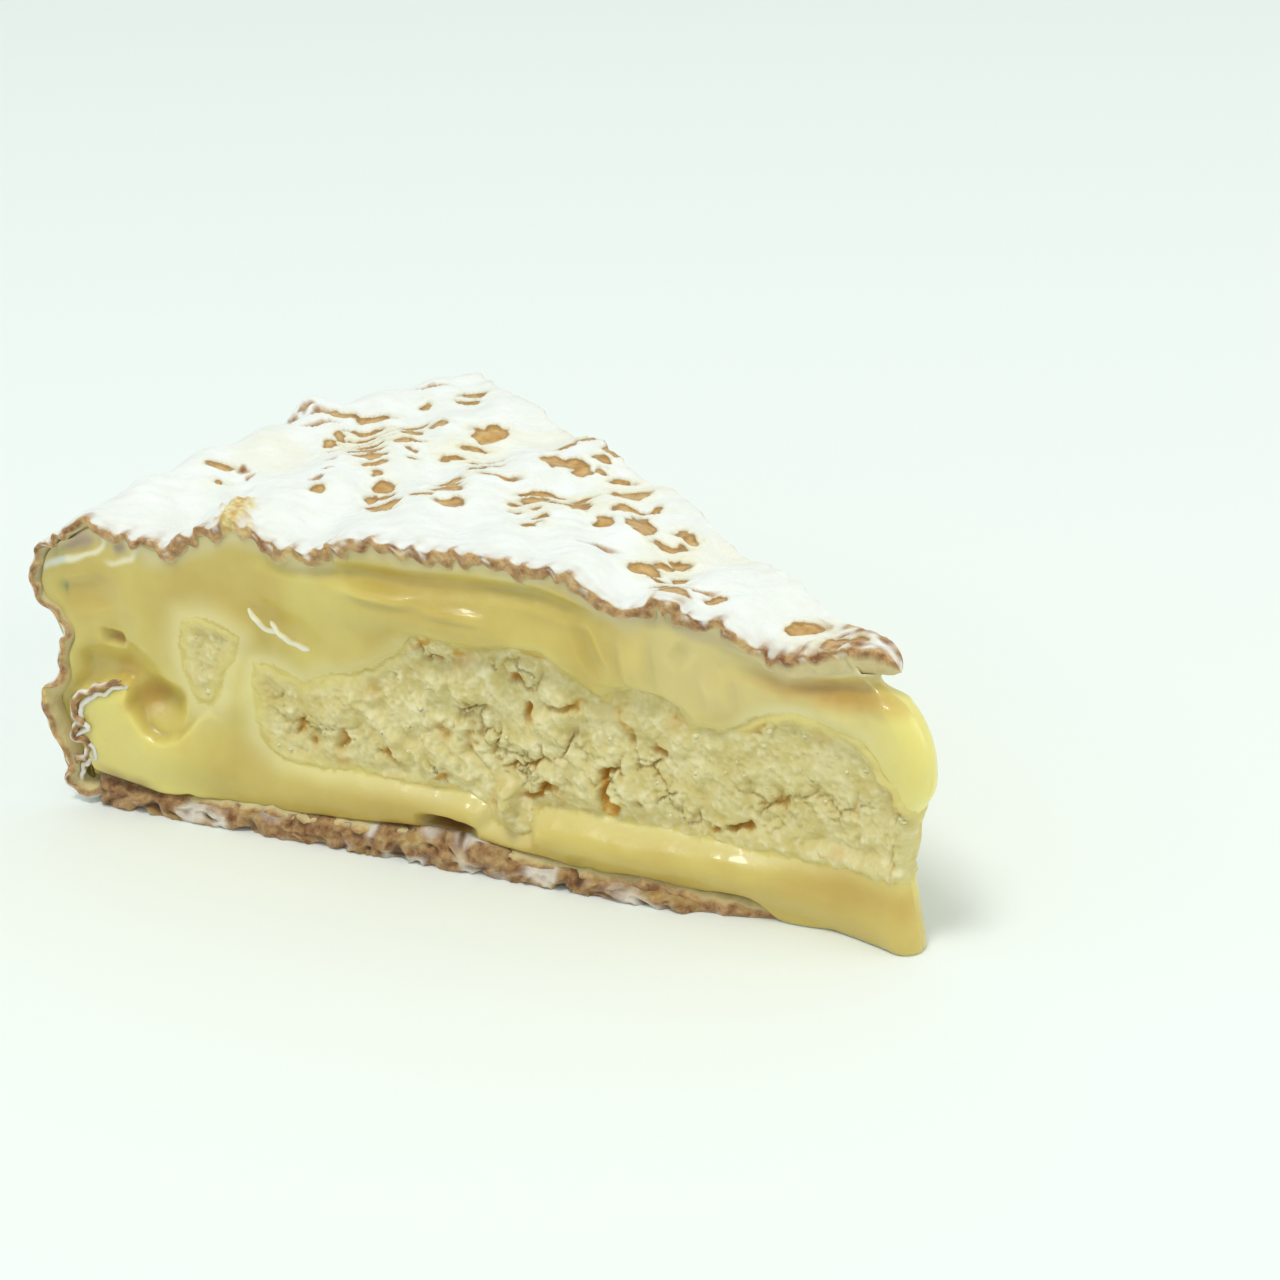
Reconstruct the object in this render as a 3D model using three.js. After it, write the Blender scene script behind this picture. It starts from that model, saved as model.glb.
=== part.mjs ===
// A wedge of soft-ripened, bloomy-rind cheese: one tenth of a flat wheel, cut from rim to centre.
//
// The wedge lies on its flat underside. +X points from the rim to the tip, the first cut face
// looks to -Y and the second one to +Y. Millimetres, +Z up, origin at the centre of the
// underside's bounding rectangle.
//
// The cheese formed as one piece, so it is one solid. Its outline follows what ripening did to
// the plain sector: the runny layers roll out of both cuts, the firm heart stays back between
// them, the skin on top ends in a tongue over a narrow neck, and the rim is drawn in at mid
// height.
import * as THREE from "three";
import { mergeVertices } from "three/addons/utils/BufferGeometryUtils.js";

// Driving dimensions of the wedge.
const CUT_LENGTH = 118; // from the wheel's centre to its rim, along either cut
const WEDGE_ANGLE = THREE.MathUtils.degToRad(37); // about a tenth of the wheel
const HEIGHT = 40; // nominal thickness of the wheel

// How finely the surface is divided: along the cut, across the wedge and up its height.
const STEPS_ALONG = 38;
const STEPS_ACROSS = 10;
const STEPS_UP = 16;

// How far from the tip the cuts start to round over into its blunt nose, as a share of the
// cut's length, and how far the nose's corners fall back.
const NOSE_LENGTH = 0.09;
const NOSE_ROUNDING = 2.0;

// Each profile is a list of knots, [where, value]. The places of the four upright profiles are
// shares of the wedge's height.

// Distance of the tip from the wheel's centre, positive towards the rim: foot, slight waist,
// belly of runny paste, neck, then the tongue of skin.
const TIP_PROFILE = [
  [0, -2.2], [0.12, -1.8], [0.3, -0.2], [0.5, -1.8], [0.62, -4.0],
  [0.8, -1.6], [0.88, 4.0], [0.95, 1.2], [1, 3.0],
];

// Half the nose's width, from the same foot to the tongue.
const NOSE_HALF_WIDTH = [[0, 3.2], [0.3, 2.0], [0.6, 3.0], [0.8, 2.8], [0.88, 1.8], [1, 1.6]];

// Distance of the rim beyond the cut's length: the skin's foot, the drawn-in middle and the
// shoulder, rounded over at the top.
const RIM_PROFILE = [
  [0, -1.5], [0.12, 0.2], [0.32, 2.6], [0.55, -0.8], [0.68, 0.4], [0.83, 4.0], [0.94, 1.5], [1, -3.5],
];

// How far the first cut face stands out of its plane.
const FIRST_CUT_PROFILE = [
  [0, -1.2], [0.06, -0.4], [0.16, 2.4], [0.26, 0.6], [0.42, -0.8], [0.62, -0.6],
  [0.78, 2.6], [0.88, 0.9], [0.93, -0.6], [1, 0.6],
];

// The second cut has run a little less.
const SECOND_CUT_PROFILE = [
  [0, -0.9], [0.06, 0], [0.16, 1.8], [0.42, -0.4], [0.62, 0.2], [0.78, 2.0], [0.93, -0.3], [1, 0.5],
];

// Height of the top over the nominal one, along the first and the second cut, by distance
// from the tip.
const FIRST_EDGE_RISE = [
  [0, 0.4], [15, -1.2], [28, 1.8], [37, 1.2], [45, 4.2], [58, 3.8], [70, 3.9], [82, 1.0], [91, 3.6],
  [104, 0.2], [111, 1.6], [118, -1.5],
];
const SECOND_EDGE_RISE = [
  [0, 0.4], [20, -0.8], [42, -0.4], [58, 1.4], [76, 2.0], [88, 0.8], [100, 1.8], [110, 0.8], [118, -1.5],
];

// Height of the low ridges that the draining mat left across the top, and their spacing.
const RIDGE_HEIGHT = 0.5;
const RIDGE_SPACING = 14;
const RIDGE_DIRECTION = THREE.MathUtils.degToRad(48);

const PASTE = new THREE.MeshStandardMaterial({
  name: "ripened_paste",
  color: "#d9cd84",
  roughness: 0.4,
  metalness: 0,
});

// The value at a place, eased from each knot to the next so that every knot is a crest, a
// hollow or a shoulder.
function through(knots, place) {
  const last = knots.length - 1;
  if (place <= knots[0][0]) return knots[0][1];
  if (place >= knots[last][0]) return knots[last][1];
  const next = knots.findIndex(([where]) => where > place);
  const [fromPlace, fromValue] = knots[next - 1];
  const [toPlace, toValue] = knots[next];
  const eased = THREE.MathUtils.smoothstep(place, fromPlace, toPlace);
  return THREE.MathUtils.lerp(fromValue, toValue, eased);
}

// The top's height at a distance from the tip and a place across, from -1 on the first cut to
// 1 on the second: the two edges' heights blended, plus the mat's ridges.
function topHeight(distance, across) {
  const first = through(FIRST_EDGE_RISE, distance);
  const second = through(SECOND_EDGE_RISE, distance);
  const edges = THREE.MathUtils.lerp(first, second, (across + 1) / 2);
  const sideways = distance * across * Math.sin(WEDGE_ANGLE / 2);
  const alongRidges = distance * Math.cos(RIDGE_DIRECTION) + sideways * Math.sin(RIDGE_DIRECTION);
  const ridges = RIDGE_HEIGHT * Math.cos((2 * Math.PI * alongRidges) / RIDGE_SPACING);
  return HEIGHT + edges + ridges;
}

// A point of the cheese. along runs from 0 at the tip to 1 at the rim, across from -1 on the
// first cut to 1 on the second, and up from 0 underneath to 1 on top.
function cheesePoint(along, across, up) {
  const tip = through(TIP_PROFILE, up) + NOSE_ROUNDING * across * across;
  const rim = CUT_LENGTH + through(RIM_PROFILE, up);
  const distance = THREE.MathUtils.lerp(tip, rim, along);

  const fromCentre = Math.max(distance, 0);

  // Each cut's own plane passes through the wheel's centre, and its face stands out from there.
  // In the nose, the half width takes over from the closing planes.
  const bearing = (across * WEDGE_ANGLE) / 2;
  const profile = across < 0 ? FIRST_CUT_PROFILE : SECOND_CUT_PROFILE;
  const nose = 1 - THREE.MathUtils.smoothstep(along, 0, NOSE_LENGTH);
  const outward = THREE.MathUtils.lerp(through(profile, up), through(NOSE_HALF_WIDTH, up), nose) * across;

  return new THREE.Vector3(
    -distance * Math.cos(bearing) + outward * across * Math.sin(bearing),
    fromCentre * Math.sin(bearing) + outward * Math.cos(bearing),
    up * topHeight(fromCentre, across),
  );
}

// A box divided into a grid on each side, with every grid point carried to its place on the
// cheese. The underside stays flat, because a point's height is its share of the top's.
function cheeseGeometry() {
  const box = new THREE.BoxGeometry(1, 1, 1, STEPS_ALONG, STEPS_ACROSS, STEPS_UP);
  box.deleteAttribute("normal");
  box.deleteAttribute("uv");
  const geometry = mergeVertices(box);
  const position = geometry.getAttribute("position");
  const point = new THREE.Vector3();
  for (let i = 0; i < position.count; i++) {
    point.fromBufferAttribute(position, i);
    // The box's own x runs towards the tip, so along is counted from its far end.
    const placed = cheesePoint(0.5 - point.x, point.y * 2, point.z + 0.5);
    position.setXYZ(i, placed.x, placed.y, placed.z);
  }
  geometry.computeBoundingBox();
  const centre = geometry.boundingBox.getCenter(new THREE.Vector3());
  geometry.translate(-centre.x, -centre.y, 0);
  geometry.computeVertexNormals();
  return geometry;
}

const cheese = new THREE.Group();
const wedge = new THREE.Mesh(cheeseGeometry(), PASTE);
wedge.name = "cheese_wedge";
cheese.add(wedge);

export default cheese;
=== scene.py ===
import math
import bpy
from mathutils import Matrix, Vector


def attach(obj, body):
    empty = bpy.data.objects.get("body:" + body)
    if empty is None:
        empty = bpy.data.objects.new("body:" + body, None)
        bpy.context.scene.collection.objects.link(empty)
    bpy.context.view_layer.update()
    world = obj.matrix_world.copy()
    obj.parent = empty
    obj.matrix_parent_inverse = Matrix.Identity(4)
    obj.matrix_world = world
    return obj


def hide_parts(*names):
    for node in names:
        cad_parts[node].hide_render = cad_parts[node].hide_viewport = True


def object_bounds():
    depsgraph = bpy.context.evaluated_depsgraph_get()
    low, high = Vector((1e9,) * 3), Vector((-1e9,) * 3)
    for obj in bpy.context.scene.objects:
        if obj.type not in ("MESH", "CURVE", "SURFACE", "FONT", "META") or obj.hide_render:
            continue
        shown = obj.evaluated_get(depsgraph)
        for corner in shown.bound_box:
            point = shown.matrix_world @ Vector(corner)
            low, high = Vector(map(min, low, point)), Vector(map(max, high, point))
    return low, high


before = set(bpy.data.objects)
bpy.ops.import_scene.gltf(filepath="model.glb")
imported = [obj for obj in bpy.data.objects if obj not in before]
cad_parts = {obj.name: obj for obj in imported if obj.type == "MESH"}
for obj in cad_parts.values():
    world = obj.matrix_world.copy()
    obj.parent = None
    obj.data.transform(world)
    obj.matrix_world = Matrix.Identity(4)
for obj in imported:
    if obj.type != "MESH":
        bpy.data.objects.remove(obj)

# The looks of a wedge of soft-ripened cheese: its wrinkled white rind, its runny cream and its
# chalky heart. Lengths are in millimetres until a mesh is made.
from types import SimpleNamespace

import bpy
import numpy as np
from mathutils import Matrix, Vector

CAD_BOX = [[float(value) for value in corner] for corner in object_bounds()]

MM = 0.001
CUT_LENGTH = 118.0  # from the wheel's centre to its rim
CUT_END = CUT_LENGTH + 2.0  # the cut faces run on a little, under the rim's skin
HALF_ANGLE = math.radians(18.5)  # the wedge spans twice this
BELLY_REACH = 4.0  # how far the runny tip stands out past the wheel's centre
TIP_X = CAD_BOX[1][0] / MM - BELLY_REACH  # the wheel's centre, where the two cuts would meet

ALONG_FIRST = np.array([-math.cos(HALF_ANGLE), -math.sin(HALF_ANGLE)])
OUT_OF_FIRST = np.array([math.sin(HALF_ANGLE), -math.cos(HALF_ANGLE)])


# ---------------------------------------------------------------- shaping

def ease(t):
    """0 below 0, 1 above 1, and a smooth S between."""
    t = np.clip(t, 0.0, 1.0)
    return t * t * (3.0 - 2.0 * t)


def hill(t):
    """1 at 0, falling smoothly to 0 at 1 and beyond on either side."""
    return np.clip(1.0 - t * t, 0.0, 1.0) ** 2


def through(knots, where):
    """A smooth line through [place, value] knots, level beyond its ends: a cubic between each
    two, with the slope at a knot taken from its neighbours."""
    place, value = np.array(knots, float).T
    slope = np.gradient(value, place)
    i = np.clip(np.searchsorted(place, where) - 1, 0, len(place) - 2)
    gap = place[i + 1] - place[i]
    t = np.clip((where - place[i]) / gap, 0.0, 1.0)
    start = (1.0 + 2.0 * t) * (1.0 - t) ** 2 * value[i] + t * (1.0 - t) ** 2 * gap * slope[i]
    end = t * t * (3.0 - 2.0 * t) * value[i + 1] + t * t * (t - 1.0) * gap * slope[i + 1]
    return start + end


def travelled(path):
    """How far along a path each of its points lies."""
    return np.concatenate([[0.0], np.cumsum(np.linalg.norm(np.diff(path, axis=0), axis=1))])


def resampled(path, count):
    """A path sampled again at a number of places evenly spaced along it."""
    reach = travelled(path)
    places = np.linspace(0.0, reach[-1], count)
    return np.stack([np.interp(places, reach, axis) for axis in path.T], 1)


def path_through(points, spacing):
    """A smooth path through the points, sampled at an even spacing along its length."""
    points = np.array(points, float)
    reach = travelled(points)
    fine = np.linspace(0.0, reach[-1], 2000)
    smooth = np.stack([through(np.stack([reach, axis], 1), fine) for axis in points.T], 1)
    return resampled(smooth, max(2, int(round(travelled(smooth)[-1] / spacing)) + 1))


def respaced(points, spacing):
    """A path of rows whose first two columns are its place, sampled again so that neighbours are
    apart by the spacing given for each old row."""
    step = np.linalg.norm(np.diff(points[:, :2], axis=0), axis=1)
    count = np.concatenate([[0.0], np.cumsum(step / (0.5 * (spacing[1:] + spacing[:-1])))])
    places = np.linspace(0.0, count[-1], int(round(count[-1])) + 1)
    return np.stack([np.interp(places, count, column) for column in points.T], 1)


def lattice_values(cell, seed):
    """Three random numbers from -1 to 1 for each whole-numbered cell, the same every time."""
    x, y, z = (cell[..., k].astype(np.uint64) for k in range(3))
    mixed = x * np.uint64(73856093) ^ y * np.uint64(19349663) ^ z * np.uint64(83492791)
    mixed = (mixed ^ np.uint64(seed * 2654435761)) & np.uint64(0xFFFFFFFF)
    values = []
    for _ in range(3):
        mixed = ((mixed ^ (mixed >> np.uint64(15))) * np.uint64(2246822519)) & np.uint64(0xFFFFFFFF)
        mixed = ((mixed ^ (mixed >> np.uint64(13))) * np.uint64(3266489917)) & np.uint64(0xFFFFFFFF)
        values.append((mixed >> np.uint64(8)).astype(float) / float(1 << 23) - 1.0)
    return np.stack(values, -1)


def noise(points, size, seed):
    """Smooth lumps about size apart, from -1 to 1: random slopes on a cubic lattice, each faded
    into the next with a fifth-power ease."""
    place = np.asarray(points, float) / size + 1000.0
    cell = np.floor(place).astype(np.int64)
    inside = place - cell
    fade = inside**3 * (inside * (inside * 6.0 - 15.0) + 10.0)
    total = np.zeros(place.shape[:-1])
    for corner in np.ndindex(2, 2, 2):
        corner = np.array(corner)
        slope = lattice_values(cell + corner, seed)
        weight = np.prod(np.where(corner == 1, fade, 1.0 - fade), axis=-1)
        total += weight * np.sum(slope * (inside - corner), axis=-1)
    return np.clip(total * 1.5, -1.0, 1.0)


def rough(points, size, octaves, seed, keep=0.5):
    """Noise on noise: each octave has half the last one's size and keep times its height."""
    total, height = 0.0, 1.0
    for octave in range(octaves):
        total = total + height * noise(points, size / 2**octave, seed + octave)
        height *= keep
    return total


def on_line(arc):
    """The noise places of a line, by the distance along it."""
    return np.stack([arc, 0.0 * arc, 0.0 * arc], 1)


def two_noises(points, size, seed, second_seed):
    """Two noises side by side, which shift places in two directions."""
    return np.stack([noise(points, size, seed), noise(points, size, second_seed)], -1)


def clumps(points, size, seed):
    """Clumps packed about size apart on a flat face. Gives each place's dome, from 1 at a clump's
    middle to 0 and below at its edge (1 minus the squared distance to the nearest of many
    scattered middles), and how far it is from the crease between two clumps, from 0 up (the
    second nearest middle's distance less the nearest's)."""
    place = np.asarray(points, float) / size + 1000.0
    cell = np.floor(place).astype(np.int64)
    nearest = np.full(place.shape[:-1], 9.0)
    second = nearest.copy()
    for step in np.ndindex(3, 3):
        neighbour = cell + np.array([step[0] - 1, step[1] - 1, 0])
        middle = neighbour + 0.5 + 0.45 * lattice_values(neighbour, seed)
        away = np.hypot(*np.moveaxis((middle - place)[..., :2], -1, 0))
        second = np.minimum(second, np.maximum(nearest, away))
        nearest = np.minimum(nearest, away)
    return 1.0 - nearest**2, second - nearest


def beside(s, z, line):
    """How far each place is from a broken line, and how far along the line its nearest point
    lies, from 0 at the line's start to 1 at its end."""
    nearest = np.full(np.shape(s), np.inf)
    share = np.zeros(np.shape(s))
    lengths = [math.hypot(s1 - s0, z1 - z0) for (s0, z0), (s1, z1) in zip(line[:-1], line[1:])]
    whole, before = max(sum(lengths), 1e-9), 0.0
    for (s0, z0), (s1, z1), length in zip(line[:-1], line[1:], lengths):
        ds, dz = s1 - s0, z1 - z0
        along = np.clip(((s - s0) * ds + (z - z0) * dz) / max(length**2, 1e-9), 0.0, 1.0)
        away = np.hypot(s - s0 - along * ds, z - z0 - along * dz)
        share = np.where(away < nearest, (before + along * length) / whole, share)
        nearest = np.minimum(nearest, away)
        before += length
    return nearest, share


def distance_to(s, z, line):
    """How far each place is from a broken line."""
    return beside(s, z, line)[0]


def depth_in(s, z, outline):
    """How deep each place lies inside a closed outline; below 0 outside it."""
    inside = np.zeros(np.shape(s), bool)
    closed = list(outline) + [outline[0]]
    for (s0, z0), (s1, z1) in zip(closed[:-1], closed[1:]):
        if z0 != z1:
            crosses = (z0 > z) != (z1 > z)
            inside ^= crosses & (s < (s1 - s0) * (z - z0) / (z1 - z0) + s0)
    return np.where(inside, 1.0, -1.0) * distance_to(s, z, closed)


def strokes(s, z, marks):
    """Soft strokes laid on a cut face and added up. Each is (height, radius, line): full height
    along its line, easing to nothing at its radius and towards the line's two ends."""
    total = np.zeros(np.shape(s))
    for height, radius, line in marks:
        away, share = beside(s, z, line)
        total += height * hill(away / radius) * (1.0 - np.abs(2.0 * share - 1.0) ** 3) ** 2
    return total


# ---------------------------------------------------------------- meshes

def add_mesh(name, points, faces, masks=None):
    """An object whose mesh holds the points (in mm) and the faces, a list of whole arrays with
    3 or 4 corners a row. A mesh that came out inside out is turned."""
    points = np.asarray(points, float).reshape(-1, 3)
    if signed_volume(points, faces) < 0.0:
        faces = [rows[:, ::-1] for rows in faces]
    corners = np.concatenate([rows.reshape(-1) for rows in faces])
    sides = np.concatenate([np.full(len(rows), rows.shape[1]) for rows in faces])
    mesh = bpy.data.meshes.new(name)
    mesh.vertices.add(len(points))
    mesh.vertices.foreach_set("co", (points * MM).reshape(-1))
    mesh.loops.add(len(corners))
    mesh.loops.foreach_set("vertex_index", corners.astype(np.int32))
    mesh.polygons.add(len(sides))
    mesh.polygons.foreach_set("loop_start", (np.cumsum(sides) - sides).astype(np.int32))
    mesh.polygons.foreach_set("use_smooth", np.ones(len(sides), bool))
    mesh.update(calc_edges=True)
    for mask, values in (masks or {}).items():
        layer = mesh.attributes.new(mask, "FLOAT", "POINT")
        layer.data.foreach_set("value", np.clip(values, 0.0, 1.0).reshape(-1).astype(np.float32))
    piece = bpy.data.objects.new(name, mesh)
    bpy.context.scene.collection.objects.link(piece)
    return piece


def signed_volume(points, faces):
    """A closed mesh's volume, below 0 if its faces point inwards."""
    total = 0.0
    for rows in faces:
        for k in range(1, rows.shape[1] - 1):
            a, b, c = points[rows[:, 0]], points[rows[:, k]], points[rows[:, k + 1]]
            total += np.sum(a * np.cross(b, c))
    return total / 6.0


def closed_tube(rings):
    """Points and faces of a closed tube: one ring of points after another, joined by
    four-cornered faces, and each end closed by a fan round the end ring's middle."""
    stations, around = rings.shape[:2]
    i, j = np.meshgrid(np.arange(stations - 1), np.arange(around), indexing="ij")
    after = (j + 1) % around
    here, ahead = i * around, (i + 1) * around
    side = np.stack([here + j, here + after, ahead + after, ahead + j], -1)
    count = stations * around
    ring = np.arange(around)
    start_fan = np.stack([(ring + 1) % around, ring, np.full(around, count)], -1)
    last = count - around
    end_fan = np.stack([last + ring, last + (ring + 1) % around, np.full(around, count + 1)], -1)
    points = np.concatenate([rings.reshape(-1, 3), rings[[0, -1]].mean(1)])
    return points, [side.reshape(-1, 4), np.concatenate([start_fan, end_fan])]


def add_tubes(name, every_rings, every_masks):
    """Several closed tubes as one object. Each has its own rings and its own masks."""
    parts = [closed_tube(rings) for rings in every_rings]
    firsts = np.cumsum([0] + [len(points) for points, _ in parts])
    faces = []
    for kind in range(2):
        rows = [kinds[kind] + first for (_, kinds), first in zip(parts, firsts)]
        faces.append(np.concatenate(rows))
    masks = {}
    for key in every_masks[0]:
        values = [np.broadcast_to(m[key], rings.shape[:2]) for m, rings in zip(every_masks, every_rings)]
        masks[key] = np.concatenate([np.append(v.reshape(-1), v[[0, -1]].mean(1)) for v in values])
    return add_mesh(name, np.concatenate([points for points, _ in parts]), faces, masks)


def add_tube(name, rings, masks):
    """One closed tube as an object."""
    return add_tubes(name, [rings], [masks])


# ---------------------------------------------------------------- materials

def linear(hex_colour):
    """An sRGB hex colour as linear light."""
    channels = [int(hex_colour[k : k + 2], 16) / 255.0 for k in (1, 3, 5)]
    light = [c / 12.92 if c <= 0.04045 else ((c + 0.055) / 1.055) ** 2.4 for c in channels]
    return (*light, 1.0)


def node(tree, kind, settings=None, links=None):
    """Adds one node with its settings, and links sockets into it. A setting or a link names an
    input, or a property of the node if it has no such input. A link from a name reads the mask
    of that name, painted on the piece's points."""
    made = tree.nodes.new(kind)
    for key, value in (settings or {}).items():
        if isinstance(key, int) or key in made.inputs:
            made.inputs[key].default_value = value
        else:
            setattr(made, key, value)
    for key, source in (links or {}).items():
        if isinstance(source, str):
            source = node(tree, "ShaderNodeAttribute", {"attribute_name": source}).outputs["Fac"]
        tree.links.new(source, made.inputs[key])
    return made


def new_material(name):
    """An empty node material and its tree."""
    material = bpy.data.materials.new(name)
    material.use_nodes = True
    material.node_tree.nodes.clear()
    return material, material.node_tree


def grain(tree, millimetres, detail, roughness=0.55, low=0.0, high=1.0):
    """A grain in the piece's own coordinates, whose lumps are so many millimetres apart. Its
    values are stretched so that low becomes 0 and high becomes 1, and held there."""
    place = node(tree, "ShaderNodeTexCoord").outputs["Object"]
    settings = {"Scale": 1.0 / (millimetres * MM), "Detail": detail, "Roughness": roughness}
    lumps = node(tree, "ShaderNodeTexNoise", settings, {"Vector": place}).outputs["Fac"]
    settings = {"From Min": low, "From Max": high}
    return node(tree, "ShaderNodeMapRange", settings, {"Value": lumps}).outputs["Result"]


def layered(tree, colour, *layers):
    """A colour with others laid over it in turn. Each layer is an amount and a colour: the amount
    is a mask's name or a socket, and a colour is a hex string or a socket."""
    for amount, over in layers:
        settings, links = {"data_type": "RGBA"}, {0: amount}
        for socket, shade in ((6, colour), (7, over)):
            if isinstance(shade, str):
                settings[socket] = linear(shade)
            else:
                links[socket] = shade
        colour = node(tree, "ShaderNodeMix", settings, links).outputs[2]
    return colour


def bumps(tree, *layers):
    """Bumps laid on one another, from the finest up. Each is its height and its grain's lumps,
    both in millimetres, and the grain's detail and roughness."""
    links = {}
    for height, *lumps in layers:
        settings = {"Strength": 1.0, "Distance": height * MM}
        links["Height"] = grain(tree, *lumps)
        links["Normal"] = node(tree, "ShaderNodeBump", settings, links).outputs["Normal"]
    return links["Normal"]


def surface(tree, settings, links):
    """The material's one shader and its output."""
    shader = node(tree, "ShaderNodeBsdfPrincipled", settings, links)
    node(tree, "ShaderNodeOutputMaterial", None, {"Surface": shader.outputs[0]})


def ripe_cream():
    """Paste that has ripened until it runs: milk fat and softened casein, pale yellow and
    slightly see-through, so light glows in thin places and the moist skin has soft highlights.
    A painted glow near the tip and painted light on the flap add to that glow."""
    material, tree = new_material("ripe_cream")
    cloud = grain(tree, 14.0, 3.0, low=0.35, high=0.65)
    # Painted light and shade among these layers: the pale glowing yellow is a painted glow near the tip and
    # painted light on the flap, the amber is mostly painted warm shade in the grooves, the pit and under
    # the lips, and the dark brown is painted shade under the rolls, in the notches and at the foot.
    colour = layered(
        tree, "#CAB35C", (cloud, "#D8C871"), ("painted_light", "#F0E78F"), ("pale", "#EADFA6"),
        ("beige", "#D6C894"), ("amber", "#BE9036"), ("brown", "#7E5A33"), ("lilac", "#A89078"),
        ("white", "#F1EBCF"),
    )
    settings = {
        "Roughness": 0.34,
        "IOR": 1.45,
        "Subsurface Radius": (1.0, 0.9, 0.6),
        "Subsurface Scale": 0.0015,
        "Coat Roughness": 0.07,
    }
    links = {
        "Base Color": colour,
        "Normal": bumps(tree, (0.08, 1.1, 4.0), (0.14, 6.0, 2.0)),
        # Deep light stops where the paste goes under the curd or the skin.
        "Subsurface Weight": "open",
        "Coat Weight": "moist",
    }
    surface(tree, settings, links)
    return material


def chalky_curd():
    """Curd that hasn't ripened yet: dry, crumbly and matt, off-white. Its cracks and the dips
    between its lumps are coloured with painted warm shade, and the tops of its lumps with painted light."""
    material, tree = new_material("chalky_curd")
    patches = grain(tree, 6.0, 5.0, 0.6, 0.4, 0.68)
    # Painted light and shade among these layers: the lightest is painted light on the tops of the lumps,
    # the warm yellow is painted shade between them, and the amber is painted warm shade in the cracks along
    # with the curd's own amber stains.
    colour = layered(
        tree, "#D0C07C", (patches, "#DED29B"), ("painted_crest_light", "#EFE5B9"), ("painted_hollow_shade", "#D0A648"),
        ("amber", "#C9983F"), ("creamy", "#DBCB7C"),
    )
    lumps = bumps(tree, (0.07, 0.6, 4.0, 0.6), (0.13, 2.0, 4.0, 0.55))
    surface(tree, {"Roughness": 0.8, "IOR": 1.45}, {"Base Color": colour, "Normal": lumps})
    return material


def bloomy_rind():
    """The rind: a felt of white mould on a thin brown skin. The felt is matt and slightly
    fluffy; tan skin shows where it is worn through."""
    material, tree = new_material("bloomy_rind")
    mottle = grain(tree, 5.0, 5.0, 0.6, 0.35, 0.7)
    tan = layered(tree, "#B98A48", (grain(tree, 1.6, 4.0, low=0.35, high=0.7), "#D9B373"))
    skin = layered(tree, "#885830", (grain(tree, 1.6, 5.0, 0.65, 0.36, 0.66), "#D3AE78"))
    golden = layered(tree, "#C99F4E", (grain(tree, 1.2, 4.0, low=0.38, high=0.66), "#EBDDA0"))
    # The worn patches' edges are ragged by a fine grain.
    links = {0: grain(tree, 1.2, 4.0), 2: "worn"}
    depth = node(tree, "ShaderNodeMath", {"operation": "MULTIPLY_ADD", 1: 0.3}, links).outputs[0]
    settings = {"From Min": 0.54, "From Max": 0.62}
    worn = node(tree, "ShaderNodeMapRange", settings, {"Value": depth}).outputs["Result"]
    # Underneath, the skin shows in patches.
    links = {0: grain(tree, 7.0, 5.0, 0.65, 0.42, 0.56), 1: "under"}
    patches = node(tree, "ShaderNodeMath", {"operation": "MULTIPLY"}, links).outputs[0]
    colour = layered(
        tree, "#EDEEE6", (mottle, "#F6F7F3"), ("halo", "#EEE3B6"), (worn, tan), (patches, "#A9814C"),
        ("skin", skin), ("amber", golden), ("beige", "#DACD98"), ("dark", "#5E3F24"),
    )
    creases = bumps(tree, (0.10, 0.45, 5.0, 0.7), (0.35, 3.0, 4.0, 0.55))
    settings = {
        "Roughness": 0.85,
        "IOR": 1.4,
        "Subsurface Weight": 0.35,
        "Subsurface Radius": (1.0, 0.8, 0.6),
        "Subsurface Scale": 0.001,
        "Sheen Weight": 0.25,
        "Sheen Roughness": 0.5,
    }
    surface(tree, settings, {"Base Color": colour, "Normal": creases})
    return material


# ---------------------------------------------------------------- the two cuts

# A place on a cut face is its distance from the wheel's centre and its height above the
# underside. Strokes are (height, radius, line) and are added up.

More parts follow.
